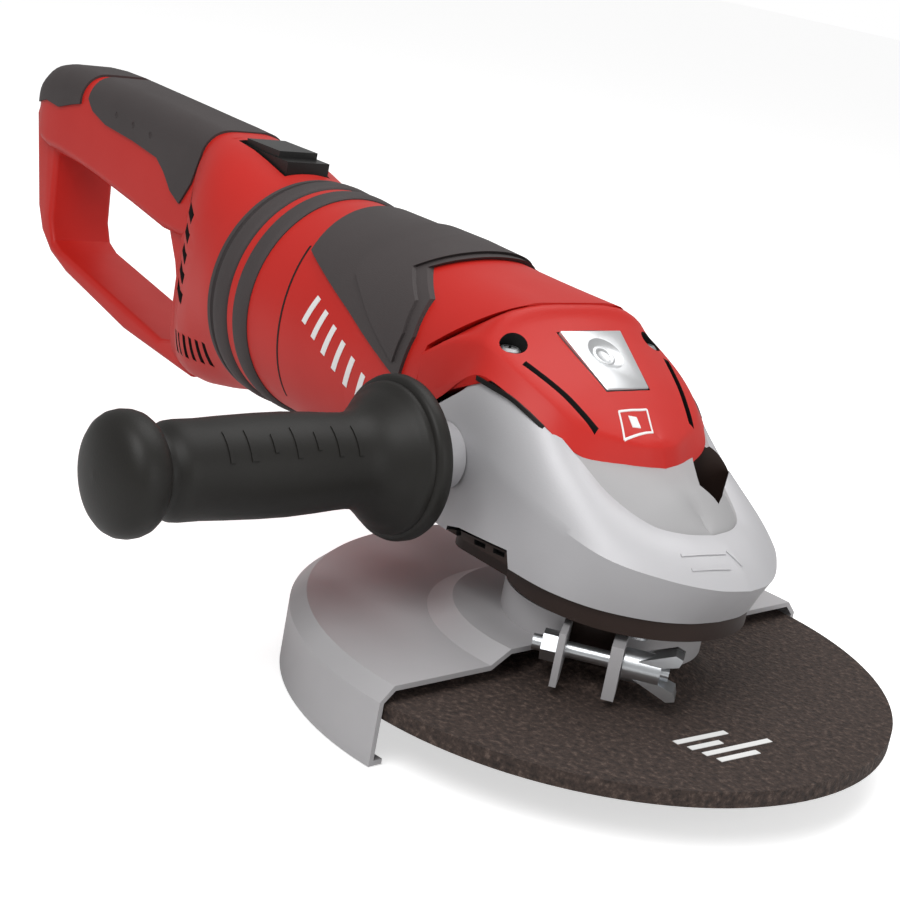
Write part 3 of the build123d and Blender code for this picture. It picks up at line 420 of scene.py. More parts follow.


# a geometry tree that sets out a row of equal bars
def barTree():
    tree = bpy.data.node_groups.new("barRow", "GeometryNodeTree")
    tree.interface.new_socket(name="Geometry", in_out="OUTPUT", socket_type="NodeSocketGeometry")
    ids = {}
    for label, kind in (
        ("Count", "NodeSocketInt"),
        ("Start", "NodeSocketVector"),
        ("Step", "NodeSocketVector"),
        ("Size", "NodeSocketVector"),
        ("Turn", "NodeSocketVector"),
        ("Finish", "NodeSocketMaterial"),
    ):
        ids[label] = tree.interface.new_socket(name=label, in_out="INPUT", socket_type=kind).identifier
    start = tree.nodes.new("NodeGroupInput")
    end = tree.nodes.new("NodeGroupOutput")
    line = tree.nodes.new("GeometryNodeMeshLine")
    line.mode = "OFFSET"
    bar = tree.nodes.new("GeometryNodeMeshCube")
    spread = tree.nodes.new("GeometryNodeInstanceOnPoints")
    solid = tree.nodes.new("GeometryNodeRealizeInstances")
    coat = tree.nodes.new("GeometryNodeSetMaterial")
    tree.links.new(start.outputs["Count"], line.inputs["Count"])
    tree.links.new(start.outputs["Start"], line.inputs["Start Location"])
    tree.links.new(start.outputs["Step"], line.inputs["Offset"])
    tree.links.new(start.outputs["Size"], bar.inputs["Size"])
    tree.links.new(line.outputs["Mesh"], spread.inputs["Points"])
    tree.links.new(bar.outputs["Mesh"], spread.inputs["Instance"])
    tree.links.new(start.outputs["Turn"], spread.inputs["Rotation"])
    tree.links.new(spread.outputs["Instances"], solid.inputs["Geometry"])
    tree.links.new(solid.outputs["Geometry"], coat.inputs["Geometry"])
    tree.links.new(start.outputs["Finish"], coat.inputs["Material"])
    tree.links.new(coat.outputs["Geometry"], end.inputs["Geometry"])
    return tree, ids


barRowTree, barIds = barTree()


def barRow(name, row, finish):
    # row holds count, start, step, size (mm) and turn (degrees)
    obj = pieceFrom(name, [(0, 0, 0)], [])
    modifier = obj.modifiers.new("row", "NODES")
    modifier.node_group = barRowTree
    modifier[barIds["Count"]] = row["count"]
    modifier[barIds["Start"]] = [v * 0.001 for v in row["start"]]
    modifier[barIds["Step"]] = [v * 0.001 for v in row["step"]]
    modifier[barIds["Size"]] = [v * 0.001 for v in row["size"]]
    modifier[barIds["Turn"]] = [math.radians(v) for v in row["turn"]]
    modifier[barIds["Finish"]] = finishes[finish]
    return bake(obj)


# gear head casting: a flared wall, a ridge, a domed nose and a flat deck under the cover
def up(points):
    return [(x, y, seat + z) for x, y, z in points]


def mirrored(place, side):
    # a place given for the +Y side, taken to either side
    return Vector((place[0], side * place[1], seat + place[2]))


headKeys = {
    "foot": up([
        (-64, -44, 34.5), (-48, -46, 34.5), (-30, -47.5, 34.5), (-10, -48, 34.5), (14, -47.6, 34.5),
        (33, -41, 34.5), (47, -28, 34.5), (54, -14, 34.5), (56, 0, 34.5),
    ]),
    "ridge": up([
        (-64, -49.6, 72), (-50, -49.8, 73), (-36, -50, 72), (-14, -50, 66), (12, -49, 60),
        (36, -43.5, 55), (53, -29, 52.3), (63.5, -14, 51.2), (67, 0, 51),
    ]),
    "deckEdge": up([
        (-64, -49, 77), (-50, -48.2, 88), (-38, -46.4, 97), (-14, -41.2, 91.8), (4, -35, 81),
        (19, -30, 71.5), (34, -23, 65.5), (42, -13, 64), (45, 0, 63.6),
    ]),
    "deckMiddle": up([
        (-64, 0, 79), (-50, 0, 91), (-38, 0, 97), (-14, 0, 91), (2, 0, 84), (16, 0, 79.5),
        (28, 0, 75.5), (36, 0, 69.5), (41, 0, 65.4),
    ]),
}
lines = {label: smoothLine(keys, 65) for label, keys in headKeys.items()}
rows = [lines["foot"]]
rows.append([a.lerp(b, 0.06) for a, b in zip(lines["foot"], lines["ridge"])])
for share in (0.35, 0.65, 0.9, 1.0):
    rows.append([a.lerp(b, share) for a, b in zip(lines["foot"], lines["ridge"])])
for step in range(1, 13):
    f = step / 12
    row = []
    for a, b in zip(lines["ridge"], lines["deckEdge"]):
        c = Vector((a.x * 0.62 + b.x * 0.38, a.y * 0.62 + b.y * 0.38, a.z * 0.22 + b.z * 0.78))
        row.append(a * (1 - f) ** 2 + c * 2 * f * (1 - f) + b * f * f)
    rows.append(row)
sink = 1.2  # the deck lies a little below the dome's edge
for share in (0.03, 0.15, 0.3, 0.5, 0.7, 0.85, 1.0):
    row = []
    for a, b in zip(lines["deckEdge"], lines["deckMiddle"]):
        point = a.lerp(b, share)
        point.z = a.z - sink + (b.z - a.z) * (1 - (1 - share) ** 2.4)
        row.append(point)
    rows.append(row)
head = skinned("headCasting", rows)
paint(head, "silver")
head.data.materials.append(finishes["deck"])
deckHalves = sorted((p.x, abs(p.y)) for p in lines["deckEdge"])
deckFloor = seat + 62
for face in head.data.polygons:  # the deck inside the dome's edge takes a darker, rougher silver; the darker tone is painted shade
    x, y, z = face.center * 1000
    halves = [half for place, half in deckHalves if place <= x]
    if x < deckHalves[-1][0] and halves and abs(y) < halves[-1] - 0.2 and z > deckFloor:
        face.material_index = 1

# the exhaust mouth, the two handle sockets and the recess for the bracket; the cutters' dark finishes go on
# to the cut walls as painted shade
mouth = loftRings(
    "mouthCutter",
    [
        up([(-1, 28, 71), (25.5, 9, 66), (33, 12, 58), (8, 42, 58)]),
        up([(-1, 28, 104), (25.5, 9, 104), (35, 13, 104), (9, 48, 104)]),
    ],
)
# dark coat on the mouth's walls and floor: painted shade of the opening
paint(mouth, "flange")
sockets = {
    "near": [(44, 0.0), (44, 11), (60, 13), (60, 0.0)], "far": [(30, 0.0), (30, 6), (60, 6), (60, 0.0)],
}
socketPlace = (handleX, 0, handleHeight)
socketCut = latheAround("socketCutter", sockets["near"], socketPlace, (0, -1, 0), 48)
paint(socketCut, "dark")
farSocket = latheAround("farSocketCutter", sockets["far"], socketPlace, (0, 1, 0), 48)
paint(farSocket, "dark")
bracketShape = {
    "recess": [(-46, 30), (-44.5, 36.5), (-37, 38.6), (-8, 41), (-4.5, 30)],
    "outline": [(-44, 34.7), (-43, 35.6), (-36.4, 37.4), (-9, 39.6), (-7, 34.7)],
    "hole": [(44, 0.0), (44, 1.5), (50, 1.5), (50, 0.0)],
    "slots": {
        "count": 2, "start": (-25, -46, seat + 36.6), "step": (11, 0, 0.9), "size": (6.5, 4, 1.9),
        "turn": (0, -5, 0),
    },
}
bracketCut = sideSlab("bracketCutter", bracketShape["recess"], -54, -42)
paint(bracketCut, "dark")
cutAway(head, [mouth, socketCut, farSocket, bracketCut])
settle(head, "body", ["gear_housing"], 28)

# dark bracket in the recess under the left wall, with a round hole and two long ones; its dark coat is partly
# the bracket's own and partly painted shade of the recess
bracket = sideSlab("wallBracket", bracketShape["outline"], -46.4, -38)
paint(bracket, "flange")
roundHole = latheAround("holeCutter", bracketShape["hole"], (-37.5, 0, seat + 36), (0, -1, 0), 32)
longHoles = barRow("slotCutter", bracketShape["slots"], "dark")
cutAway(bracket, [paint(roundHole, "dark"), longHoles])
roundEdges(bracket, 0.3, 2)
settle(bracket, "body", (), 30)


printing = {"start": 30, "sink": 0.4}  # how far off a ray starts, and how deep a strip is rooted


def printStrip(name, surface, route, width, aim, finish, body, lift=0.3):
    # a thin raised strip: points along the route are dropped on to a surface along aim,
    # or towards the motor's axis when aim is None
    rings = []
    for index, place in enumerate(route):
        ahead = (route[min(index + 1, len(route) - 1)] - route[max(index - 1, 0)]).normalized()
        inward = Vector((0, -place.y, axisHeight - place.z)) if aim is None else Vector(aim)
        toward = inward.normalized()
        across = ahead.cross(toward).normalized() * width / 2
        landed = []
        for edge in (place - across, place + across):
            found, hit = surface.ray_cast((edge - toward * printing["start"]) * 0.001, toward)[:2]
            landed.append(hit * 1000 if found else edge)
        sunk = [point + toward * printing["sink"] for point in landed]
        proud = [point - toward * lift for point in landed]
        rings.append([sunk[0], sunk[1], proud[1], proud[0]])
    piece = loftRings(name, rings)
    paint(piece, finish)
    return settle(piece, body, (), 30)


def straight(start, end, count=10):
    return [Vector(start).lerp(Vector(end), i / (count - 1)) for i in range(count)]


# a plain raised arrow on the nose
arrow = {
    "Upper": ((53, -21, 62), (56, -3, 62)), "Lower": ((57, -20, 57.5), (60, -5, 57.5)),
    "Tip": ((56, -1.5, 63), (60, 1, 58)),
}
for label, ends in arrow.items():
    start, end = up(ends)
    printStrip(
        "noseArrow" + label, head, straight(start, end), 1.1, (-0.8, 0, -0.6), "silver", "body",
        0.45,
    )
print("stage: gear head made")

# red cover
coverKeys = {
    "hem": up([
        (-74, -49.6, 79), (-64, -49.8, 79.5), (-58, -49.6, 84), (-42, -49, 97.5), (-24, -46.2, 95),
        (-11, -42.2, 89.6), (-2, -38, 84), (4.5, -31, 80), (10, -20, 77.5), (15, -9, 75.5), (17, 0, 75),
    ]),
    "rim": up([
        (-74, -49.3, 97), (-62, -46.8, 105.6), (-50, -44.6, 109.0), (-42, -43.4, 108),
        (-26, -41, 102.5), (-13, -37.4, 97), (-5, -33.5, 92.4), (1, -27, 89), (6.5, -17.5, 87),
        (11.5, -8, 85.4), (13, 0, 85),
    ]),
    "middle": up([
        (-74, 0, 99.5), (-62, 0, 112), (-49, 0, 122.5), (-42, 0, 118.2), (-28, 0, 109.6),
        (-17, 0, 103.4), (-8, 0, 98.2), (-2, 0, 94.6), (3, 0, 91.6), (7, 0, 89.2), (8.5, 0, 88.4),
    ]),
}
lines = {label: smoothLine(keys, 65) for label, keys in coverKeys.items()}
rows = []
for share in (0.0, 0.3, 0.6, 0.86):
    rows.append([a.lerp(b, share) for a, b in zip(lines["hem"], lines["rim"])])
for step in range(1, 5):
    f = step / 4
    row = []
    for a, b, c in zip(lines["hem"], lines["rim"], lines["middle"]):
        start = a.lerp(b, 0.86)
        end = b.lerp(c, 0.08)
        end.z = b.z + (c.z - b.z) * 0.18
        row.append(start * (1 - f) ** 2 + b * 2 * f * (1 - f) + end * f * f)
    rows.append(row)
for share in (0.16, 0.24, 0.34, 0.48, 0.64, 0.82, 1.0):
    crown = 1 - (1 - share) ** 4
    row = []
    for a, b in zip(lines["rim"], lines["middle"]):
        arched = a.lerp(b, share)
        # arched at the rear to meet the motor housing, flat in front
        flat = min(1, max(0, (a.x + 50) / 16))
        arched.z = a.z + (b.z - a.z) * (crown * (1 - flat) + (1 - (1 - share) ** 2) * flat)
        row.append(arched)
    rows.append(row)
cover = skinned("redCover", rows)
paint(cover, "red")
plateShape = {
    "place": (-27, 0, 108.75), "fall": 17.5, "run": 30, "rear": -12, "front": 18, "rearHalf": 16,
    "frontHalf": 11,
}
plateCentre = Vector(plateShape["place"]) + Vector((0, 0, seat))
plateTilt = math.atan2(plateShape["fall"], plateShape["run"])
plateNormal = Vector((math.sin(plateTilt), 0, math.cos(plateTilt)))
plateAlong = Vector((math.cos(plateTilt), 0, -math.sin(plateTilt)))


def onPlate(a, y, lift):
    return plateCentre + plateAlong * a + Vector((0, y, 0)) + plateNormal * lift


def plateSlab(name, grow, low, high):
    rear, front = plateShape["rear"] - grow, plateShape["front"] + grow
    rearHalf, frontHalf = plateShape["rearHalf"] + grow, plateShape["frontHalf"] + grow
    corners = [(rear, -rearHalf), (front, -frontHalf), (front, frontHalf), (rear, rearHalf)]
    return loftRings(
        name,
        [[onPlate(a, y, low) for a, y in corners], [onPlate(a, y, high) for a, y in corners]],
    )


coverCuts = {
    "screw": (-39.5, 36, 109), "slotRear": (-30, 37.4, 101), "slotFront": (1.5, 25, 88.5),
    "slotHalf": 1.3,
}
cutters = [paint(plateSlab("plateCutter", 0.5, -5.5, 12), "dark")]
for side in (-1, 1):
    well = latheAround(
        "wellCutter", [(-5, 0.0), (-5, 5.0), (30, 5.4), (30, 0.0)], mirrored(coverCuts["screw"], side),
        plateNormal, 40,
    )
    cutters.append(paint(well, "dark"))
    ends = [mirrored(coverCuts["slotRear"], side), mirrored(coverCuts["slotFront"], side)]
    run = (ends[1] - ends[0]).normalized()
    across = Vector((0, 0, 1)).cross(run).normalized() * coverCuts["slotHalf"]
    ring = [ends[0] - across, ends[0] + across, ends[1] + across, ends[1] - across]
    slotCut = loftRings(
        "slotCutter",
        [[p - Vector((0, 0, 3)) for p in ring], [p + Vector((0, 0, 26)) for p in ring]],
    )
    cutters.append(paint(slotCut, "dark"))
cutAway(cover, cutters)
settle(cover, "body", ["gear_cover"], 30)

# the spindle lock's plate with its dished thumb rest
plate = plateSlab("lockPlate", 0, -2, 1.2)
paint(plate, "plate")
roundEdges(plate, 0.7, 3)
dish = {
    "hollow": [(-0.6, 0.0), (-0.4, 3.0), (0.2, 6.0), (1.4, 8.2), (4, 8.2), (4, 0.0)],
    "ring": [(-0.4, 2.6), (0.15, 3.4), (0.15, 4.6), (-0.4, 5.4), (-0.4, 2.6)],
}
rest = latheAround("dishCutter", dish["hollow"], plateCentre, plateNormal, 64)
paint(rest, "plate")
cutAway(plate, [rest])
settle(plate, "spindle_lock", ["spindle_lock_button"], 20)
knobDish = latheAround("dishRing", dish["ring"], plateCentre, plateNormal, 64)
paint(knobDish, "plate")
settle(knobDish, "spindle_lock", (), 40)

# sunk screws with cross recesses
coverScrews = {
    "foot": (-40.5, 36, 105.2),
    "recess": (-40.5, 36, 108.6),
    "bar": (5.0, 1.0, 2.4),
    "profile": [(0, 0.0), (0, 4.3), (2.2, 4.3), (3.2, 3.2), (3.6, 0.0)],
}
for side, label in ((-1, "Right"), (1, "Left")):
    foot = mirrored(coverScrews["foot"], side)
    screw = latheAround("coverScrew" + label, coverScrews["profile"], foot, (0, 0, 1), 40)
    paint(screw, "steel")
    recess = {
        "count": 1, "start": mirrored(coverScrews["recess"], side), "step": (0, 0, 1),
        "size": coverScrews["bar"],
    }
    cross = barRow("crossA" + label, {**recess, "turn": (0, 0, 45)}, "dark")
    other = barRow("crossB" + label, {**recess, "turn": (0, 0, 135)}, "dark")
    cutAway(screw, [cross, other])
    settle(screw, "body", ["cover_screws"], 35)

# badge: a plain outlined square with a short bar in it, printed on the cover's tip
badge = {"corners": [(-2.6, -11.5), (7.0, -15.6), (7.0, -1.6), (-2.6, 3.0)], "line": 0.7, "bar": 3.6}
corners = [Vector((x, y, seat + 92)) for x, y in badge["corners"]]
for index, label in enumerate(("Right", "Front", "Left", "Rear")):
    line = straight(corners[index], corners[(index + 1) % 4])
    printStrip("badge" + label, cover, line, badge["line"], (0, 0, -1), "white", "body")
middle = sum(corners, Vector()) / 4
wedge = straight(middle - Vector((2.2, 0.2, 0)), middle + Vector((2.2, -1.4, 0)))
printStrip("badgeWedge", cover, wedge, badge["bar"], (0, 0, -1), "white", "body")

# near-black strip under the cover's hem on both sides: a painted shadow of the gap between cover and casting
hemShadowShape = {
    "keys": [(-41, 48.6, 96.6), (-33, 47.6, 95.6), (-24, 45.9, 94.2), (-16, 43.8, 91.2), (-9, 41, 87.6)],
    "half": 0.9,
}
for side, label in ((-1, "Right"), (1, "Left")):
    line = smoothLine([mirrored(key, side) for key in hemShadowShape["keys"]], 24)
    half = hemShadowShape["half"]
    section = [Vector((0, a * half, b * half)) for a, b in ((-1, -1), (1, -1), (1, 1), (-1, 1))]
    hemShadow = loftRings("coverHemShadow" + label, [[p + offset for offset in section] for p in line])
    paint(hemShadow, "black")
    settle(hemShadow, "body", (), 30)
print("stage: cover made")

# side handle
grip = latheAround(
    "sideGrip",
    [
        (70, 6.0), (70, 28.5), (70.8, 30.4), (72.2, 31), (75.2, 31), (76.4, 30.5), (77, 29.6),
        (77.2, 28.6), (78.6, 28.4), (79.6, 27.8), (80.6, 26.4), (82.5, 25), (84.5, 23.6), (87, 21.6),
        (90, 19.4), (94, 17.9), (98, 17.5), (104, 17.7), (112, 18.2), (124, 18.7), (136, 18.6),
        (150, 18.1), (160, 17.6), (168, 17.6), (171, 17.3), (173, 16.4), (174.5, 15.2), (176, 14.4),
        (178.6, 14.6), (180, 15.4), (180, 6.0), (70, 6.0),
    ],
    (handleX, 0, handleHeight), (0, -1, 0), 128,
)
paint(grip, "handle")
settle(grip, "body", ["side_handle_grip"], 40)

cap = latheAround(
    "sideCap",
    [
        (178.8, 0.0), (178.8, 16.2), (179.3, 17.8), (180.6, 19.4), (182.5, 20.8), (185, 21.6),
        (188, 21.8), (190.8, 21.3), (193, 20.1), (194.8, 18.1), (196.2, 15.4), (197.4, 11.8),
        (198.3, 7.6), (198.8, 3.8), (199, 0.0),
    ],
    (handleX, 0, handleHeight), (0, -1, 0), 128,
)
paint(cap, "handle")
settle(cap, "body", ["side_handle_cap"], 45)
print("stage: side handle made")

# swivel rings
ringRear = latheAround(
    "swivelRingRear",
    [
        (-222, 45.6), (-222, 50.6), (-221.6, 51.3), (-220.6, 51.5), (-219.2, 51.4), (-218.8, 50.2),
        (-218, 49.6), (-217.3, 50.2), (-217, 51.2), (-216, 51.9), (-213, 52), (-210, 51.8),
        (-208.2, 51.3), (-207.4, 50.4), (-207, 49.2), (-207, 42.5), (-213, 42.5), (-213, 45.6),
        (-222, 45.6),
    ],
    (0, 0, axisHeight), (1, 0, 0), 160,
)
paint(ringRear, "grip")
settle(ringRear, "rear_handle", ["rear_swivel_ring"], 35)
ringFront = latheAround(
    "swivelRingFront",
    [
        (-202.2, 42.2), (-202.2, 48.8), (-202, 50.4), (-201.2, 51.2), (-199.8, 51.5), (-197, 51.5),
        (-194.6, 51.3), (-193, 50.8), (-192.1, 50), (-192, 49), (-192, 42.2), (-202.2, 42.2),
    ],
    (0, 0, axisHeight), (1, 0, 0), 160,
)
paint(ringFront, "grip")
settle(ringFront, "body", ["front_swivel_ring"], 35)

# rear handle: flared cowl, D frame, top bar and soft grips
cowlSections = [
    (-222.2, 49.5, 49.5, 2.0, 79.6), (-226, 49.3, 49.8, 2.0, 79.6), (-236, 47, 52.4, 2.15, 79.4),
    (-248, 44.4, 55.2, 2.45, 79.2), (-260, 41.2, 57.2, 2.9, 79.2), (-272, 35.4, 58.2, 3.3, 79.4),
    (-282, 28.4, 58.8, 3.8, 79.8), (-290, 23.4, 59, 4.2, 80), (-296, 21.5, 58.4, 4.6, 80.2),
]
rings = []
for x, halfWidth, halfHeight, power, middle in cowlSections:
    ring = []
    for i in range(96):
        turn = 2 * math.pi * i / 96
        c, s = math.cos(turn), math.sin(turn)
        y = halfWidth * math.copysign(abs(c) ** (2 / power), c)
        z = halfHeight * math.copysign(abs(s) ** (2 / power), s)
        ring.append((x, y, seat + middle + z))
    rings.append(ring)
cowl = loftRings("handleCowl", rings)
paint(cowl, "red")
opening = [(-434, 96), (-427, 49), (-305, 31), (-294, 43), (-306, 70), (-315, 84), (-347, 89), (-384, 94)]
vents = {
    "count": 5, "rear": -272, "shift": 1.8, "top": 105, "drop": 9.4, "long": 25, "shorter": 2,
    "tall": 5.2, "tilt": 14,
}
louvres = {
    "count": 6, "start": (-268, 38, 42), "step": (6.2, 0, 0.6), "size": (2.6, 20, 12),
    "turn": (0, 10, 0),
}
cutters = [paint(sideSlab("openingCutter", opening, -70, 70), "red")]
for side in (-1, 1):
    for index in range(vents["count"]):
        place = (vents["rear"] + vents["shift"] * index, 38, vents["top"] - vents["drop"] * index)
        size = (vents["long"] - vents["shorter"] * index, 36, vents["tall"])
        vent = {
            "count": 1, "start": mirrored(place, side), "step": (0, 0, 1), "size": size,
            "turn": (0, vents["tilt"], 0),
        }
        cutters.append(barRow("ventCutter", vent, "dark"))
    cutters.append(barRow("louvreCutter", {**louvres, "start": mirrored(louvres["start"], side)}, "dark"))
buttonWell = {
    "rear": -272, "front": -233, "half": 12.5, "floor": 126, "top": 150, "flare": 2, "sideFlare": 1,
}


def wellRing(level, along, sideways):
    rear, front = buttonWell["rear"] - along, buttonWell["front"] + along
    half = buttonWell["half"] + sideways
    return up([(rear, -half, level), (front, -half, level), (front, half, level), (rear, half, level)])


floorRing = wellRing(buttonWell["floor"], 0, 0)
topRing = wellRing(buttonWell["top"], buttonWell["flare"], buttonWell["sideFlare"])
well = paint(loftRings("buttonWell", [floorRing, topRing]), "dark")
cutters.append(well)
cutAway(cowl, cutters)
settle(cowl, "rear_handle", (), 30)

outer = [
    (-276, 20.5), (-291, 21.4), (-344, 25), (-410, 37), (-428, 43), (-440, 52), (-447, 64), (-460, 112),
    (-457, 120), (-450, 128), (-440, 133), (-405, 134), (-300, 132), (-276, 131),
]
frameBody = sideSlab("handleFrame", outer, -18, 18)
paint(frameBody, "red")
hole = [
    (-434, 96), (-431, 60), (-426, 50), (-418, 46.5), (-310, 30.5), (-300, 33), (-295, 43), (-306, 70),
    (-315, 84), (-347, 89), (-384, 94),
]
cutAway(frameBody, [paint(sideSlab("holeCutter", hole, -40, 40), "red")])
roundEdges(frameBody, 4.2, 4, 50)
handleScrews = {
    "places": ((-442, 84), (-360, 33.8), (-303, 28)),
    "well": [(15.4, 0.0), (15.4, 3.1), (30, 3.1), (30, 0.0)],
}
screwWells = []
for x, z in handleScrews["places"]:
    well = latheAround("screwWell", handleScrews["well"], (x, 0, seat + z), (0, 1, 0), 32)
    screwWells.append(paint(well, "red"))
cutAway(frameBody, screwWells)
settle(frameBody, "rear_handle", ["handle_shell_left", "handle_shell_right"], 34)

# the top bar as sections along its length: station, bottom, top, half width
barSections = [
    (-457.6, 116, 128, 15), (-456, 110, 132, 18), (-452, 104, 136, 20.4), (-446, 99.4, 139, 22),
    (-437, 97.8, 141, 22.8), (-424, 98, 141.8, 23), (-405, 96.4, 141.8, 23), (-384, 94.2, 141.2, 23),
    (-347, 89.2, 140.2, 23), (-315, 84.4, 139.2, 23), (-299, 84.6, 138.8, 23), (-285, 86, 138.2, 23),
    (-276, 90, 137.8, 23),
]


def topSolid(name, grow):
    rounding = {"top": 13.0, "bottom": 5.0, "steps": 8}
    rings = []
    for x, bottom, top, half in barSections:
        ring = []
        if x == barSections[0][0]:
            x -= grow  # the rear end grows as well
        tall = (top - bottom) / 2
        for side, level, first in ((1, 1, 0), (-1, 1, 90), (-1, -1, 180), (1, -1, 270)):
            radius = min(rounding["top"] if level > 0 else rounding["bottom"], half - 0.5, tall - 0.5)
            cy = side * (half - radius)
            cz = top - radius if level > 0 else bottom + radius
            for step in range(rounding["steps"] + 1):
                turn = math.radians(first + 90 * step / rounding["steps"])
                ring.append((
                    x, cy + math.cos(turn) * (radius + grow),
                    seat + cz + math.sin(turn) * (radius + grow),
                ))
        rings.append(ring)
    return loftRings(name, rings)


topBar = topSolid("handleTopBar", 0)
paint(topBar, "red")
triggerSlot = {
    "count": 1, "start": (-340, 0, seat + 86), "step": (0, 0, 1), "size": (66, 16.4, 26),
    "turn": (0, 4, 0),
}
cutAway(topBar, [barRow("triggerSlot", triggerSlot, "dark")])
settle(topBar, "rear_handle", (), 34)

gripShapes = {
    "softGripMain": (
        [
            (-399, 150), (-396, 131), (-390, 126), (-376, 122), (-348, 120), (-324, 117), (-316, 112),
            (-308, 104.5), (-299, 100.5), (-291, 112), (-286, 126), (-284, 150),
        ],
        "main_grip",
    ),
    "softGripRear": (
        [
            (-470, 118), (-456, 118), (-440, 122), (-426, 121), (-414, 124.5), (-404, 127), (-404, 150),
            (-470, 150),
        ],
        "rear_grip",
    ),
}
dimples = {
    "count": 3, "rear": -366, "step": 17,
    "profile": [(-0.9, 0.0), (-0.5, 1.4), (1.5, 2.4), (1.5, 0.0)],
}
gripThickness = 1.2
for label, (outline, node) in gripShapes.items():
    soft = topSolid(label, gripThickness)
    paint(soft, "grip")
    outward(soft)
    region = sideSlab("gripRegion", outline, -40, 40)
    outward(region)
    keep = soft.modifiers.new("keep", "BOOLEAN")
    keep.operation = "INTERSECT"
    keep.solver = "EXACT"
    keep.object = region
    bake(soft)
    bpy.data.objects.remove(region)
    paint(soft, "grip")
    if node == "main_grip":
        cutters = []
        for side in (-1, 1):
            for index in range(dimples["count"]):
                spot = (dimples["rear"] + dimples["step"] * index, side * 24.2, seat + 129 - 1.4 * index)
                cutters.append(
                    paint(latheAround("dimpleCutter", dimples["profile"], spot, (0, side, 0), 24), "grip")
                )
        cutAway(soft, cutters)
    settle(soft, "rear_handle", [node], 34)
print("stage: rear handle made")

# prints and lines on the motor housing, the disc and the side grip
housing = nodes["motor_housing"]
housingBars = {"count": 6, "rear": -150, "step": 8.2, "rise": 12, "drop": 4.2, "half": 6.5, "wide": 3.0}
groove = {"station": -173, "bow": 5, "radius": 49.5, "reach": 42, "steps": 24, "wide": 1.1}
for side, label in ((-1, "Right"), (1, "Left")):
    for index in range(housingBars["count"]):
        x = housingBars["rear"] + housingBars["step"] * index
        level = axisHeight + housingBars["rise"] - housingBars["drop"] * index
        top = (x + 2.4, side * 49, level + housingBars["half"])
        foot = (x - 1.8, side * 49, level - housingBars["half"])
        bar = straight(top, foot)
        printStrip(
            f"housingBar{label}{index}", housing, bar, housingBars["wide"], None, "white", "body",
            0.2,
        )
    arc = []
    for step in range(groove["steps"] + 1):
        turn = math.radians(groove["reach"] * (2 * step / groove["steps"] - 1))
        bow = groove["bow"] * math.cos(turn * 1.9)
        y, z = groove["radius"] * math.cos(turn), groove["radius"] * math.sin(turn)
        arc.append(Vector((groove["station"] + bow, side * y, axisHeight + z)))
    # the groove is a raised near-black strip: painted shade of the groove
    printStrip(
        "housingGroove" + label, housing, arc, groove["wide"], None, "dark", "body",
        0.12,
    )

disc = nodes["grinding_disc"]
discBars = {"lengths": (26, 16, 34, 20), "inner": 74, "step": 5.2, "start": -30, "stagger": 2, "wide": 2.6}
for index, length in enumerate(discBars["lengths"]):
    x = discBars["inner"] + discBars["step"] * index
    y = discBars["start"] + discBars["stagger"] * index
    ends = [(x, y, seat + 6), (x, y + length, seat + 6)]
    printStrip(
        f"discBar{index}", disc, straight(*ends), discBars["wide"], (0, 0, -1), "white", "disc_drive",
        0.2,
    )

gripRibs = {
    "reaches": (6, 6, 3.6, 6, 3.6, 6, 6), "first": -102, "step": 9, "offset": 13.2, "narrow": 1.65,
    "broad": 2.97,
}
slope = math.sqrt(0.5)
for index, reach in enumerate(gripRibs["reaches"]):
    y = gripRibs["first"] - gripRibs["step"] * index
    middle = Vector((handleX + gripRibs["offset"], y, handleHeight + gripRibs["offset"]))
    tilt = Vector((slope, 0, -slope)) * reach
    wide = gripRibs["broad"] if index == 5 else gripRibs["narrow"]
    printStrip(
        f"gripRib{index}", grip, straight(middle - tilt, middle + tilt), wide, (-slope, 0, -slope),
        "handle", "body", 0.4,
    )
print("stage: prints made")

# bevels and finishes on the CAD pieces that keep their own shape
slotFinish = {
    "disc": "grit", "steel": "steel", "laminated_steel": "steel", "copper": "copper",
    "fan_plastic": "black", "carbon": "black",
    "brass": "brass", "dark_flange": "flange", "zinc": "zinc", "head_aluminium": "silver",
    "red_plastic": "red",
    "bright_plate": "plate", "soft_grip": "grip", "trigger_plastic": "grip", "black_plastic": "black",
    "black_rubber": "black",
    "handle_black": "handle", "guard_steel": "guard",
}
softEdges = {
    "guard_shell": 0.5, "guard_collar": 0.4, "bearing_flange": 0.8, "clamp_hex_nut": 0.4,
    "wing_nut": 0.6, "trigger": 1.2,
    "swivel_lock_button": 2.0, "top_pad_outer": 0.4, "top_pad_inner": 0.4, "clamp_nut": 0.5,
    "inner_flange": 0.5, "cable_gland": 0.5,
    "side_handle_washer": 0.5, "handle_boss": 0.6, "flange_screws": 0.5, "swivel_band": 0.4,
}
for part in frame["record"]["subparts"]:
    obj = nodes[part["node"]]
    obj.data.materials.clear()
    obj.data.materials.append(finishes[slotFinish[part["material_slot"]]])
    width = softEdges.get(part["node"])
    if width:
        bevel = obj.modifiers.new("edges", "BEVEL")
        bevel.width = width * 0.001
        bevel.segments = 2
        bevel.limit_method = "ANGLE"
        bevel.angle_limit = math.radians(35)
print("stage: finishes placed")

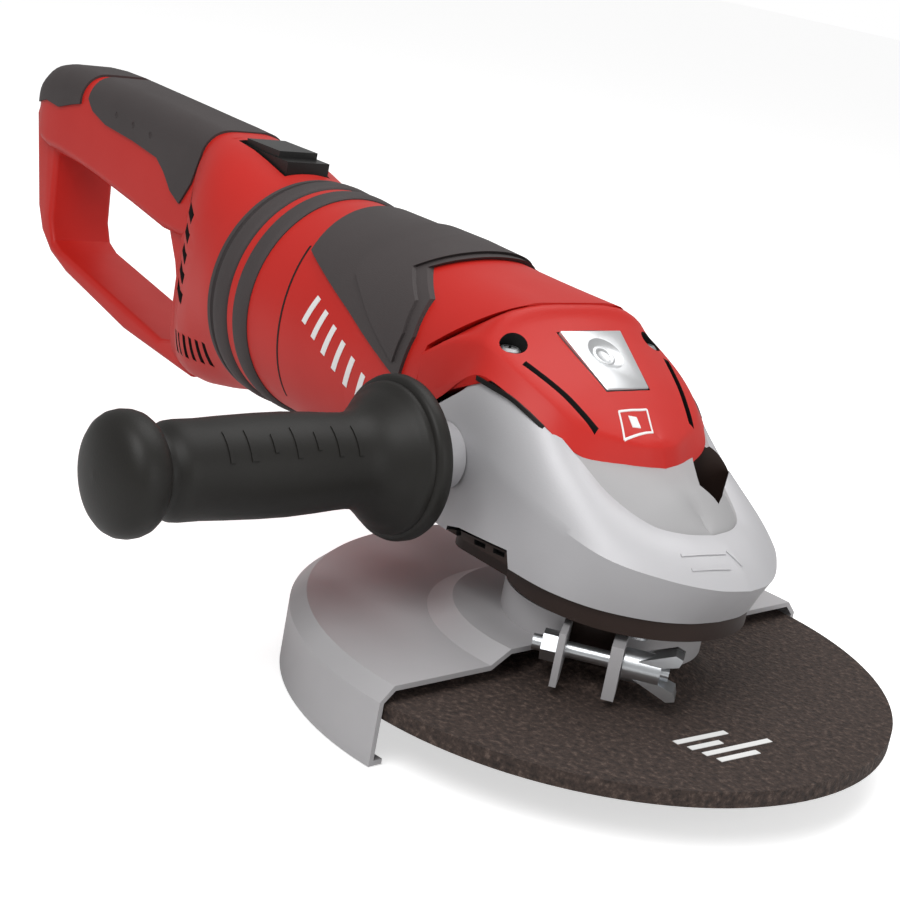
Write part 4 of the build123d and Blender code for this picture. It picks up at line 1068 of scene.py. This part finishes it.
# floor, light and camera
lowest = cadBox[0].z
floorMesh = bpy.data.meshes.new("floor")
floorShape = {"half": 6, "gap": 0.0005}
floorCorners = [
    (a * floorShape["half"], b * floorShape["half"])
    for a, b in ((-1, -1), (1, -1), (1, 1), (-1, 1))
]
floorMesh.from_pydata([(x, y, lowest - floorShape["gap"]) for x, y in floorCorners], [], [(0, 1, 2, 3)])
floor = bpy.data.objects.new("floor", floorMesh)
scene.collection.objects.link(floor)
floorFinish = bpy.data.materials.new("paleFloor")
floorFinish.use_nodes = True
floorTree = floorFinish.node_tree
floorShader = floorTree.nodes["Principled BSDF"]
floorShader.inputs["Base Color"].default_value = (0.8, 0.8, 0.8, 1)
floorShader.inputs["Roughness"].default_value = 0.9
floorShader.inputs["Emission Color"].default_value = (1, 1, 1, 1)
glow = {"seen": 0.6}  # only the camera sees the floor's own light, so undersides stay dark
floorRays = floorTree.nodes.new("ShaderNodeLightPath")
floorGlow = floorTree.nodes.new("ShaderNodeMath")
floorGlow.operation = "MULTIPLY"
floorGlow.inputs[1].default_value = glow["seen"]
floorTree.links.new(floorRays.outputs["Is Camera Ray"], floorGlow.inputs[0])
floorTree.links.new(floorGlow.outputs[0], floorShader.inputs["Emission Strength"])
floor.data.materials.append(floorFinish)

world = bpy.data.worlds.new("studio")
scene.world = world
world.use_nodes = True
world.node_tree.nodes["Background"].inputs["Color"].default_value = (1, 1, 1, 1)
# the camera sees a white studio; the object is lit by a dimmer one, so that its colours stay deep
studio = {"seen": 1.0, "light": 0.44}
rays = world.node_tree.nodes.new("ShaderNodeLightPath")
brightness = world.node_tree.nodes.new("ShaderNodeMath")
brightness.operation = "MULTIPLY_ADD"
brightness.inputs[1].default_value = studio["seen"] - studio["light"]
brightness.inputs[2].default_value = studio["light"]
world.node_tree.links.new(rays.outputs["Is Camera Ray"], brightness.inputs[0])
world.node_tree.links.new(brightness.outputs[0], world.node_tree.nodes["Background"].inputs["Strength"])

lamps = [
    {"name": "keySoft", "place": (0.3, -0.9, 1.2), "aim": (-0.1, 0, 0.06), "size": 0.9, "power": 11},
    {"name": "topSoft", "place": (-0.2, 0.5, 1.4), "aim": (-0.1, 0, 0.06), "size": 1.2, "power": 8},
    {"name": "noseFill", "place": (1.2, 0.2, 0.5), "aim": (0, 0, 0.06), "size": 0.8, "power": 3},
]
for lamp in lamps:
    data = bpy.data.lights.new(lamp["name"], "AREA")
    data.shape = "DISK"
    data.size = lamp["size"]
    data.energy = lamp["power"]
    light = bpy.data.objects.new(lamp["name"], data)
    light.location = lamp["place"]
    light.rotation_euler = (Vector(lamp["aim"]) - Vector(lamp["place"])).to_track_quat("-Z", "Y").to_euler()
    scene.collection.objects.link(light)

view = {
    "azimuth": 0.84299, "elevation": 0.28578, "roll": 0.18678, "lens": 76.23,
    "place": (0.4655, -0.5067, 0.2799),
}
back = Vector((
    math.sin(view["azimuth"]) * math.cos(view["elevation"]),
    -math.cos(view["azimuth"]) * math.cos(view["elevation"]), math.sin(view["elevation"]),
))
level = Vector((math.cos(view["azimuth"]), math.sin(view["azimuth"]), 0))
rise = back.cross(level)
right = level * math.cos(view["roll"]) + rise * math.sin(view["roll"])
top = rise * math.cos(view["roll"]) - level * math.sin(view["roll"])
camera = bpy.data.objects.new("camera", bpy.data.cameras.new("camera"))
camera.data.lens = view["lens"]
camera.data.sensor_width = 36
camera.data.clip_start = 0.01
camera.matrix_world = Matrix((right, top, back)).transposed().to_4x4()
camera.location = view["place"]
scene.collection.objects.link(camera)
scene.camera = camera
scene.view_settings.view_transform = "Standard"
print("stage: floor, light and camera placed")
